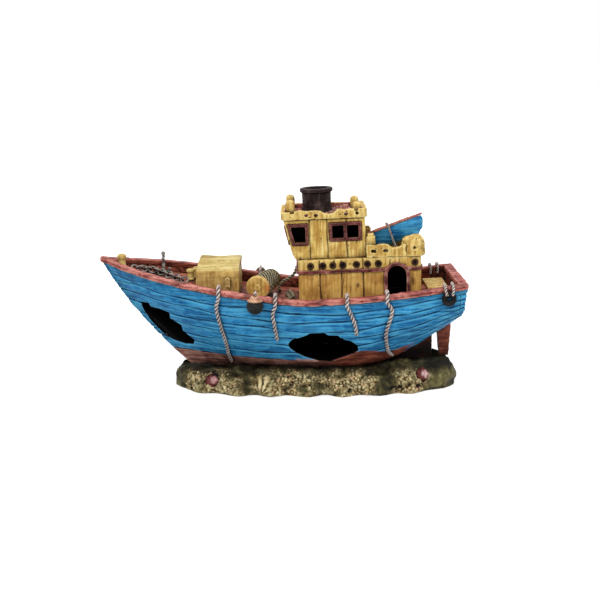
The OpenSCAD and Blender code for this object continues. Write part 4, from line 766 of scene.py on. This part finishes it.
def carve_ball(points, normals):
    """Netted balls with a flared cap, which is bare on the near one."""
    x, y, z = points.T
    net = np.abs(np.sin(2.1 * (x + z))) * np.abs(np.sin(2.1 * (x - z)))
    moved = shift(points, normals, 0.35 * net - 0.2)
    cap = step_up(z, *BALL_CAP_RAMP)
    moved[:, 0] += 0.25 * cap * (x - BALL_X)
    moved[:, 1] += 0.25 * cap * (y - BALL_Y * np.sign(y))
    return moved, {"cap": cap * np.where(y < 0, 1, 0.25)}


def carve_shells(points, normals):
    """Worn cones with low, uneven ribs, a pale tip and a foot in painted shade."""
    moved, pale, foot = points.copy(), np.zeros(len(points)), np.zeros(len(points))
    for part in (points[:, 0] < 0, points[:, 0] > 0):
        own = points[part]
        tip = own @ SHELL_WAY
        middle = own[tip < tip.min() + 1].mean(0)
        out = own - middle - np.outer((own - middle) @ SHELL_WAY, SHELL_WAY)
        turn = np.arctan2(out @ np.cross(SHELL_WAY, [1, 0, 0]), out[:, 0])
        worn = 0.4 * field(own, (2.2, 2.2, 2.2), 41)
        moved[part] += normals[part] * (0.16 * np.cos(7 * turn + 4 * worn) + worn)[:, None]
        height = (own - middle) @ SHELL_WAY + 1.5 * worn
        pale[part] = step_up(height + 0.7 * out[:, 0], 3.4, 5.0)
        # The foot is darkened as painted shade where the shell meets the rock
        foot[part] = 0.85 * step_up(height, 3.0, 1.2)
    return moved, {"apex": pale, "age_and_shade": foot}


def lift_prow(points):
    """Draws the raised end of the dinghy out to a fuller, rounder prow."""
    moved, end = points.copy(), step_up(points[:, 0], *PROW_RAMP)
    moved[:, 0] += end * np.interp(points[:, 2], PROW_HEIGHTS, PROW_SHIFTS)
    moved[:, 2] += 0.5 * end ** 2 * step_up(points[:, 2], *PROW_TOP_RAMP)
    return moved


def carve_dinghy_rail(points, normals):
    """A worn rail that follows the prow."""
    moved, marks = carve_rail(points, normals)
    return lift_prow(moved) + 0.15 * normals, {"age_and_shade": 0.25 + 0.5 * marks["age_and_shade"]}


def carve_dinghy(points, normals):
    """Brushed strakes, with a painted highlight towards the raised end and painted shade at the low end, and
    a bare inside.
    """
    raised = step_up(points[:, 0], *DINGHY_RAMP)
    bright = raised * step_up(field(points, (14, 9, 3), 42), -0.1, 0.4)
    floor = step_up(normals[:, 2], 0.55, 0.8)
    # A painted highlight on the raised end and painted shade on the low end
    marks = {"edge": 0.6 * bright, "age_and_shade": 0.6 * (1 - raised), "inside": floor}
    return lift_prow(long_grain(points, normals)), marks


def rock_growth(points, rough):
    """Cover of gravel along the lower edge, with a fan of fronds, and the rise and tone of its pebbles."""
    x, y, z = points.T
    bulges = sum(np.exp(-((x - middle) / half) ** 4) for middle, half in GROWTH)
    cover = np.clip(1.5 * bulges + 0.9 * rough - 0.25, 0, 1) * step_up(z + 2 * rough, 16, 11)
    growth = cover * step_up(np.abs(y), 9, 18) * step_up(field(points, (8, 8, 6), 48), -0.6, -0.3)
    stirred = points + np.stack([field(points, (2.6, 2.6, 2.6), seed) for seed in (43, 44, 45)], 1)
    rise, tone = pebbles(stirred, 1.9, 3)
    fan = np.exp(-((x - FAN_X) / FAN_REACH) ** 4 - ((z - FAN_Z) / FAN_REACH) ** 4) * (y < 0)
    fronds = fan * np.abs(np.sin(6.5 * np.arctan2(z - FAN_ROOT_Z, x - FAN_ROOT_X) + rough)) ** 0.7
    growth = np.maximum(growth * (1 - fan), fronds)
    return growth, np.maximum(rise, fronds), np.maximum(tone, 0.8 * fan)


def carve_rock(points, normals):
    """Boulder lumps, with gravel grown over the bulges of the lower edge, painted shade in the dips between
    and a painted shadow of the hull over the top.
    """
    x, _, z = points.T
    lump = 1.3 * field(points, (15, 14, 9), 13) + 0.8 * field(points, (6, 6, 5), 14)
    rough = field(points, (5, 5, 5), 15)
    clump = field(points, (4, 4, 5), 46)
    growth, rise, tone = rock_growth(points, rough)
    blades = np.abs(np.sin(points @ np.array([1.5, 0.2, 0.5]) + 2.5 * rough)) * step_up(rough, 0.1, 0.4)
    grit = 0.9 * clump + rise * (0.3 + 1.2 * tone) + 0.5 * field(points, (1.5, 1.5, 1.5), 16)
    depth = lump * 0.8 + growth * (grit - 0.4 + 0.7 * blades) + 0.3 * field(points, (2.4, 2.4, 2.4), 17)
    moved = shift(points, normals, depth * np.clip(z / 2.0, 0, 1))
    bulge = 2.2 * step_up(x, ROCK_END_X - 8, ROCK_END_X + 5)
    moved[:, 0] += bulge * np.exp(-((z - 6.5) / 4.5) ** 2)
    moved[:, 2] = np.maximum(moved[:, 2], 0)
    # Painted shadow of the hull over the top of the rock, and painted shade in the dips between the lumps
    shade = step_up(z + 1.5 * rough + 1.8 * step_up(x, -25, -45), 10.5, 14.5)
    hollow = np.clip(shade + step_up(lump, -0.2, -1.0), 0, 1) * (1 - 0.8 * growth)
    right_end = np.exp(-((x - ROCK_END_X) / 7) ** 4) * step_up(z, 13, 8) * step_up(z, 1, 3)
    return moved, {
        "growth": growth * np.clip(0.25 + 0.9 * rise, 0, 1) * np.clip(0.3 + 1.1 * tone + 0.8 * clump, 0, 1),
        "rosy": growth * rise * 0.6 * (tone > 0.9),
        "pale": np.maximum(0.8 * right_end, 0.5 * step_up(rough, 0.0, 0.4) * (1 - growth)),
        "hollow": 0.92 * hollow * (1 - right_end) * (1 - 0.6 * np.exp(-((x - SHADE_GAP_X) / 14) ** 2)),
    }


# The castings: node, paint, size of the remeshed grain in millimetres, rounds of softening and carving

cast("rock_base", "rock", 0.58, 1, carve_rock)
for name in ("planking_port", "planking_starboard", "stem", "transom"):
    cast(name, "hull_blue", 0.56, 1, carve_planking)
cast("keel", "bottom_red", 0.66, 2, carve_keel)
cast("skeg", "bottom_red", 0.5, 2, carve_skeg)
cast("stern_post", "bottom_red", 0.5, 2, carve_post)
for name in ("gunwale_port", "gunwale_starboard", "gunwale_stern"):
    cast(name, "rail_red", 0.44, 2, carve_rail)
cast("deck", "deck_brown", 0.72, 1, carve_deck)
cast("bulwark_ribs", "rail_red", 0.4, 1, carve_rib)
cast("deckhouse", "house_yellow", 0.52, 1, carve_deckhouse, gain=0.7)
cast("wheelhouse", "house_yellow", 0.45, 3, carve_wheelhouse, gain=0.5)
cast("boat_deck_parapet", "house_yellow", 0.36, 2, carve_parapet(WHEEL_Z, BOAT_PARAPET, lined=False))
cast("roof_parapet", "house_yellow", 0.36, 2, carve_parapet(ROOF_Z, ROOF_PARAPET, lined=True))
cast("parapet_turrets", "house_yellow", 0.36, 2, carve_turret)
for name in ("parapet_posts", "roof_posts"):
    cast(name, "house_yellow", 0.34, 2, carve_lumps)
for name in ("bow_post", "bollards", "stern_bench"):
    cast(name, "house_yellow", 0.3, 2, carve_small, age_and_shade=0.15)
cast("winch_cheeks", "house_yellow", 0.3, 2, carve_cheeks)
cast("cargo_hatch", "hatch_cream", 0.42, 8, carve_hatch, gain=0.5)
for name in ("hatch_cleats", "dinghy_thwarts"):
    cast(name, "fitting_tan", 0.25, 1, carve_small)
for name in ("belt_moulding", "door_trims"):
    cast(name, "rail_red", 0.28, 1, carve_belt)
for name in ("side_window_frames", "front_window_frame"):
    cast(name, "rail_red", 0.28, 1, carve_small, age_and_shade=0.8)
cast("dinghy_rail", "rail_red", 0.28, 1, carve_dinghy_rail)
cast("roof", "rail_red", 0.45, 1, carve_rubble, age_and_shade=0.5)
cast("porthole_rims", "funnel_brown", 0.25, 1, carve_porthole, age_and_shade=0.35)
cast("funnel", "funnel_brown", 0.38, 2, carve_small)
cast("dinghy", "hull_blue", 0.36, 5, carve_dinghy)
cast("shells", "shell_pink", 0.22, 1, carve_shells)
for name in ("anchor", "anchor_chain"):
    cast(name, "iron_grey", 0.22, 1, carve_small)
cast("ball_fenders", "fender_dark", 0.28, 1, carve_ball)
cast("tyre_fenders", "fender_dark", 0.28, 1, carve_small, age_and_shade=0.5)
cast("winch_drum", "deck_brown", 0.4, 1, carve_small)
AIR_PARTS = {"air_inlet": "air_plastic", "air_tube": "air_plastic", "air_stone": "air_stone_grey"}
for name, slot in AIR_PARTS.items():
    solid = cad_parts[name]
    solid.data.materials.clear()
    solid.data.materials.append(PAINTS[slot])


# Laid ropes: strands twisted round a smooth line

def smooth_line(route, step):
    """An even line through the points of a route, in millimetres."""
    p = np.array(route, float)
    p = np.vstack([2 * p[0] - p[1], p, 2 * p[-1] - p[-2]])
    t = np.linspace(0, 1, 24, endpoint=False)[:, None]
    parts = []
    for a, b, c, d in zip(p, p[1:], p[2:], p[3:]):
        bend = (2 * a - 5 * b + 4 * c - d) * t ** 2 + (3 * b - a - 3 * c + d) * t ** 3
        parts.append(0.5 * (2 * b + (c - a) * t + bend))
    dense = np.vstack(parts + [p[-2:-1]])
    reach = np.concatenate([[0], np.cumsum(np.linalg.norm(np.diff(dense, axis=0), axis=1))])
    even = np.linspace(0, reach[-1], max(8, int(reach[-1] / step)))
    return np.stack([np.interp(even, reach, dense[:, k]) for k in range(3)], 1), even


STRANDS, STRAND_SWELL = 2, 1.12     # strands in a rope, and how far each swells past its share


def laid_rope(form, route, diameter, lay):
    """Adds the strands of one rope to a bmesh, and returns the points of the rope's middle line."""
    line, reach = smooth_line(route, lay / 14)
    way = np.gradient(line, axis=0)
    way /= np.linalg.norm(way, axis=1, keepdims=True)
    side = [Vector((0.3, 0.5, 0.81)).cross(Vector(way[0])).normalized()]
    for before, after in zip(way, way[1:]):
        side.append((Vector(before).rotation_difference(Vector(after)) @ side[-1]).normalized())
    side = np.array(side)
    other = np.cross(way, side)
    thick = diameter / 4
    for k in range(STRANDS):
        turn = math.tau * (reach / lay + k / STRANDS)
        centre = line + thick * (np.cos(turn)[:, None] * side + np.sin(turn)[:, None] * other)
        curve = bpy.data.curves.new("strand", "CURVE")
        curve.dimensions = "3D"
        curve.bevel_depth = thick * MM * STRAND_SWELL
        curve.bevel_resolution = 1
        curve.use_fill_caps = True
        spline = curve.splines.new("POLY")
        spline.points.add(len(centre) - 1)
        spline.points.foreach_set("co", np.hstack([centre * MM, np.ones((len(centre), 1))]).ravel())
        holder = add_object("strand", curve)
        tube = shaped_mesh(holder)
        form.from_mesh(tube)
        bpy.data.objects.remove(holder)
        bpy.data.meshes.remove(tube)
    return line


def rope_piece(node, slot, routes, diameter, lay, age_and_shade=0.0, soaked=0.0):
    """A piece of laid ropes, darker in all by its age and darker towards the foot by its soaking."""
    form = bmesh.new()
    lines = [laid_rope(form, route, diameter, lay) for route in routes]
    mesh = bpy.data.meshes.new(node + "_laid")
    form.to_mesh(mesh)
    form.free()
    piece = add_object(node + "_laid", mesh)
    points = vectors(mesh, "co") / MM
    core = np.full(len(points), np.inf)
    for spot in np.vstack(lines):
        core = np.minimum(core, np.linalg.norm(points - spot, axis=1))
    rim = core / (diameter / 2)
    note(mesh, "crevice", np.clip((0.86 - rim) * 3.8, 0, 0.97))
    note(mesh, "ridge", np.clip((rim - 0.85) * 5, 0, 1))
    note(mesh, "corner_shade", np.zeros(len(points)))
    note(mesh, "age_and_shade", age_and_shade + soaked * step_up(points[:, 2], 62, 42))
    dress(piece, slot, node)


# Routes of the ropes, worked out as the solids have them, to a tenth of a millimetre

# Diameter of each kind of rope, and the length in which its strands go once round
SIDE_ROPE, FENDER_ROPE, DINGHY_ROPE = (2.3, 5.6), (1.6, 3.8), (1.4, 3.2)
SLACK_WARP, WOUND_WARP = (2.2, 4.6), (2.2, 4.4)


def hull_x(share):
    """A place along the hull, by a share of its length from the middle."""
    return (BOW_X + STERN_X) / 2 + (STERN_X - BOW_X) * share


def side_route(place, shares):
    """From inside the bulwark over the rail and down the port planking, by places along it and up it."""
    x, lift = hull_x(place), SIDE_ROPE[0] / 2 + 0.5
    half, z = hull_side(x, 1)
    outer, inner, top = half + RAIL_OUT + lift, half - PLANK_WALL - RAIL_IN, z + RAIL_HEIGHT + lift
    route = [(x, lift - inner, z - 0.45 * BULWARK), (x, lift - inner, z + 0.7 * RAIL_HEIGHT),
             (x, -inner - 0.4, top), (x, 0.8 * lift - outer, top),
             (x, -outer, z + 0.6 * RAIL_HEIGHT), (x, -outer, z - 1)]
    for share, v in shares:
        half, z = hull_side(hull_x(share), v)
        route.append((hull_x(share), -half - lift, z))
    return np.round(route, 1)


def lanyard_route(x, *ends):
    """From inside the bulwark over the rail and on through the points at a fender."""
    half, z = hull_side(x, 1)
    radius = FENDER_ROPE[0] / 2
    lift = radius + 0.3
    outer, inner, top = half + RAIL_OUT + lift, half - PLANK_WALL - RAIL_IN - lift, z + RAIL_HEIGHT + lift
    route = [(x, -inner, z - 1.5), (x, -inner, z + 0.6 * RAIL_HEIGHT), (x, -inner - radius, top),
             (x, radius - outer, top)]
    return np.round(route + list(ends), 1)


def both_sides(route):
    """A route on the port side and its like to starboard."""
    return [route, [(x, -y, z) for x, y, z in route]]


def dinghy_route():
    """Over the dinghy from deck to deck, by half breadths and heights in its own tilt and heel."""
    tilt = math.atan2(BOAT_PARAPET + FIT, HOUSE_LENGTH - PARAPET_WALL - DINGHY_FOOT)
    boat = (Matrix.Translation((HOUSE_X, 0, float(deck_z(HOUSE_X)))) @ Matrix.Rotation(-HOUSE_SLOPE, 4, "Y")
            @ Matrix.Translation((DINGHY_FOOT, 0, WHEEL_Z + FIT)) @ Matrix.Rotation(-tilt, 4, "Y")
            @ Matrix.Rotation(-DINGHY_HEEL, 4, "X"))
    aft, foot = 12.92, 10.605
    fall = DINGHY_ROPE[0] / 2 + FIT - aft * math.tan(tilt)
    lean = foot * math.tan(DINGHY_HEEL)
    side = ((10.005, 3), (10.005, 11.5), (9.505, 13.2), (6.003, 14))
    route = [(-foot, fall - lean)] + [(-half, up) for half, up in side] + [(0, 13.7)]
    route += [(half, up) for half, up in reversed(side)] + [(foot, fall + lean)]
    return np.round([tuple(boat @ Vector((aft, y, z))) for y, z in route], 1)


def deck_route(shares):
    """Over the deck from the winch to the house, by shares of the way, places across and heights over it."""
    fore = WINCH_PLACE[0] + CHEEK_R
    route = []
    for share, y, up in shares:
        x = fore + (HOUSE_X - fore) * share
        route.append((x, y, deck_z(x) + SLACK_WARP[0] / 2 + FIT + up))
    return np.round(route, 1)


# Where each rope crosses the rail, and its points down the side
SIDE_ROPES = {
    "rope_fore": (-0.1635, (-0.1697, 0.84), (-0.1635, 0.66), (-0.1545, 0.48), (-0.1481, 0.32), (-0.1459, 0.2),
                  (-0.1393, 0.09)),
    "rope_mid_fore": (-0.0134, (-0.02, 0.86), (-0.0156, 0.7), (-0.0091, 0.5)),
    "rope_mid_aft": (0.1776, (0.1885, 0.86), (0.1993, 0.72), (0.2037, 0.58)),
    "rope_aft": (0.284, (0.297, 0.86), (0.2927, 0.72), (0.284, 0.55), (0.2861, 0.38), (0.2949, 0.2),
                 (0.3079, 0.1)),
}
for name, (place, *shares) in SIDE_ROPES.items():
    rope_piece(name, "pale_rope", [side_route(place, shares)], *SIDE_ROPE, age_and_shade=0.08, soaked=0.3)

# One line goes to the cap of each ball, and two to the sides of each tyre
fender_lines = [lanyard_route(BALL_X, (BALL_X, -43.5, 69.5), (BALL_X, -47.4, 69.4))]
for x, tyre_x in ((98.2, 98.9), (103.0, 102.3)):
    fender_lines.append(lanyard_route(x, (x, -41.1, sheer_z(x) + 0.7 * RAIL_HEIGHT), (tyre_x, -42.6, 67.6)))
fender_routes = [route for line in fender_lines for route in both_sides(line)]
rope_piece("fender_lashings", "pale_rope", fender_routes, *FENDER_ROPE)
rope_piece("dinghy_lashing", "pale_rope", [dinghy_route()], *DINGHY_ROPE, age_and_shade=0.6)
WARP_ROUTES = (
    ((0.87, 21, 16), (0.8, 21.3, 12.5), (0.68, 21.3, 9.6), (0.46, 21, 7), (0.22, 19.5, 4.6), (0.1, 16.5, 1.8),
     (0.14, 12.5, 0)),
    ((0.42, 8, 0), (0.55, 1, 0), (0.62, -7, 0), (0.48, -13, 0), (0.3, -18, 0)),
    ((0.55, 18, 0), (0.66, 11, 0), (0.74, 4, 0), (0.75, -3, 0)),
)
rope_piece("trawl_warps", "dark_rope", [deck_route(shares) for shares in WARP_ROUTES], *SLACK_WARP)

# Rope wound on the winch, in the drum's own lean
WINCH = (Matrix.Translation(WINCH_PLACE) @ Matrix.Rotation(math.radians(-14), 4, "Z")
         @ Matrix.Rotation(math.radians(-90), 4, "X"))
WARP_RADIUS, WARP_PITCH, WARP_TURNS, WARP_STEPS = 5.85, 2.622, 9, 16
coil = []
for step in range(WARP_TURNS * WARP_STEPS + 1):
    turns = step / WARP_STEPS
    a = math.tau * turns
    along = WARP_PITCH * (turns - WARP_TURNS / 2)
    coil.append(tuple(WINCH @ Vector((WARP_RADIUS * math.cos(a), WARP_RADIUS * math.sin(a), along))))
rope_piece("winch_rope", "dark_rope", [coil], *WOUND_WARP)


# Stage: floor, light and camera

def seen_directly(tree):
    """1 for what the camera, a gloss or a glass sees, and 0 for what lights the object."""
    path = put(tree, "ShaderNodeLightPath").outputs
    mirrored = calc(tree, "MAXIMUM", path["Is Glossy Ray"], path["Is Transmission Ray"])
    return calc(tree, "MAXIMUM", path["Is Camera Ray"], mirrored)


def stage_floor():
    """A pale floor that keeps the object's shadow and fades to white."""
    form = bmesh.new()
    bmesh.ops.create_grid(form, x_segments=1, y_segments=1, size=4)
    mesh = bpy.data.meshes.new("floor")
    form.to_mesh(mesh)
    form.free()
    floor = add_object("floor", mesh)
    material = bpy.data.materials.new("floor white")
    material.use_nodes = True
    tree = material.node_tree
    tree.nodes.clear()
    plain = put(tree, "ShaderNodeBsdfDiffuse", {"Color": (0.62, 0.62, 0.62, 1)})
    place = put(tree, "ShaderNodeTexCoord").outputs["Object"]
    away = put(tree, "ShaderNodeVectorMath", {0: place}, operation="LENGTH").outputs["Value"]
    strength = calc(tree, "MULTIPLY", seen_directly(tree), spread(tree, away, 0.15, 0.6, 0.62, 1.0))
    glow = put(tree, "ShaderNodeEmission", {"Color": (1, 1, 1, 1), "Strength": strength})
    both = put(tree, "ShaderNodeAddShader", {0: plain.outputs[0], 1: glow.outputs[0]})
    put(tree, "ShaderNodeOutputMaterial", {"Surface": both.outputs[0]})
    mesh.materials.append(material)


def stage_light():
    """A soft white room with three lamps turned to the object."""
    world = bpy.data.worlds.new("studio")
    scene.world = world
    world.use_nodes = True
    tree = world.node_tree
    tree.nodes.clear()
    strength = spread(tree, seen_directly(tree), 0, 1, 0.44, 1.0)
    sky = put(tree, "ShaderNodeBackground", {"Color": (1, 1, 1, 1), "Strength": strength})
    put(tree, "ShaderNodeOutputWorld", {"Surface": sky.outputs[0]})
    lamps = (("key", (-0.35, -0.75, 0.75), 0.55, 6.0), ("fill", (0.7, -0.5, 0.45), 0.7, 2.2),
             ("top", (0.1, 0.25, 0.9), 0.6, 2.8))
    aim = Vector((0, 0, 0.05))
    for name, place, size, power in lamps:
        lamp = bpy.data.lights.new(name, "AREA")
        lamp.size = size
        lamp.energy = power
        holder = add_object(name, lamp)
        holder.location = place
        holder.rotation_euler = (aim - Vector(place)).to_track_quat("-Z", "Y").to_euler()


# The view of the photograph, with its width and focal length in pixels
VIEW_ELEVATION, VIEW_DISTANCE, VIEW_FOCUS = math.radians(12.5), 0.65, Vector((0.00945, 0, 0.0557))
VIEW_WIDTH, VIEW_FOCAL, SENSOR_WIDTH = 600, 997, 36


def stage_camera():
    """A camera on the port side that looks along +Y and down."""
    lens = bpy.data.cameras.new("view")
    lens.sensor_width = SENSOR_WIDTH
    lens.lens = SENSOR_WIDTH * VIEW_FOCAL / VIEW_WIDTH
    lens.clip_start = 0.01
    camera = add_object("view", lens)
    back = Vector((0, -math.cos(VIEW_ELEVATION), math.sin(VIEW_ELEVATION)))
    camera.location = VIEW_FOCUS + VIEW_DISTANCE * back
    camera.rotation_euler = (math.pi / 2 - VIEW_ELEVATION, 0, 0)
    scene.camera = camera


stage_floor()
stage_light()
stage_camera()
scene.view_settings.view_transform = "Standard"
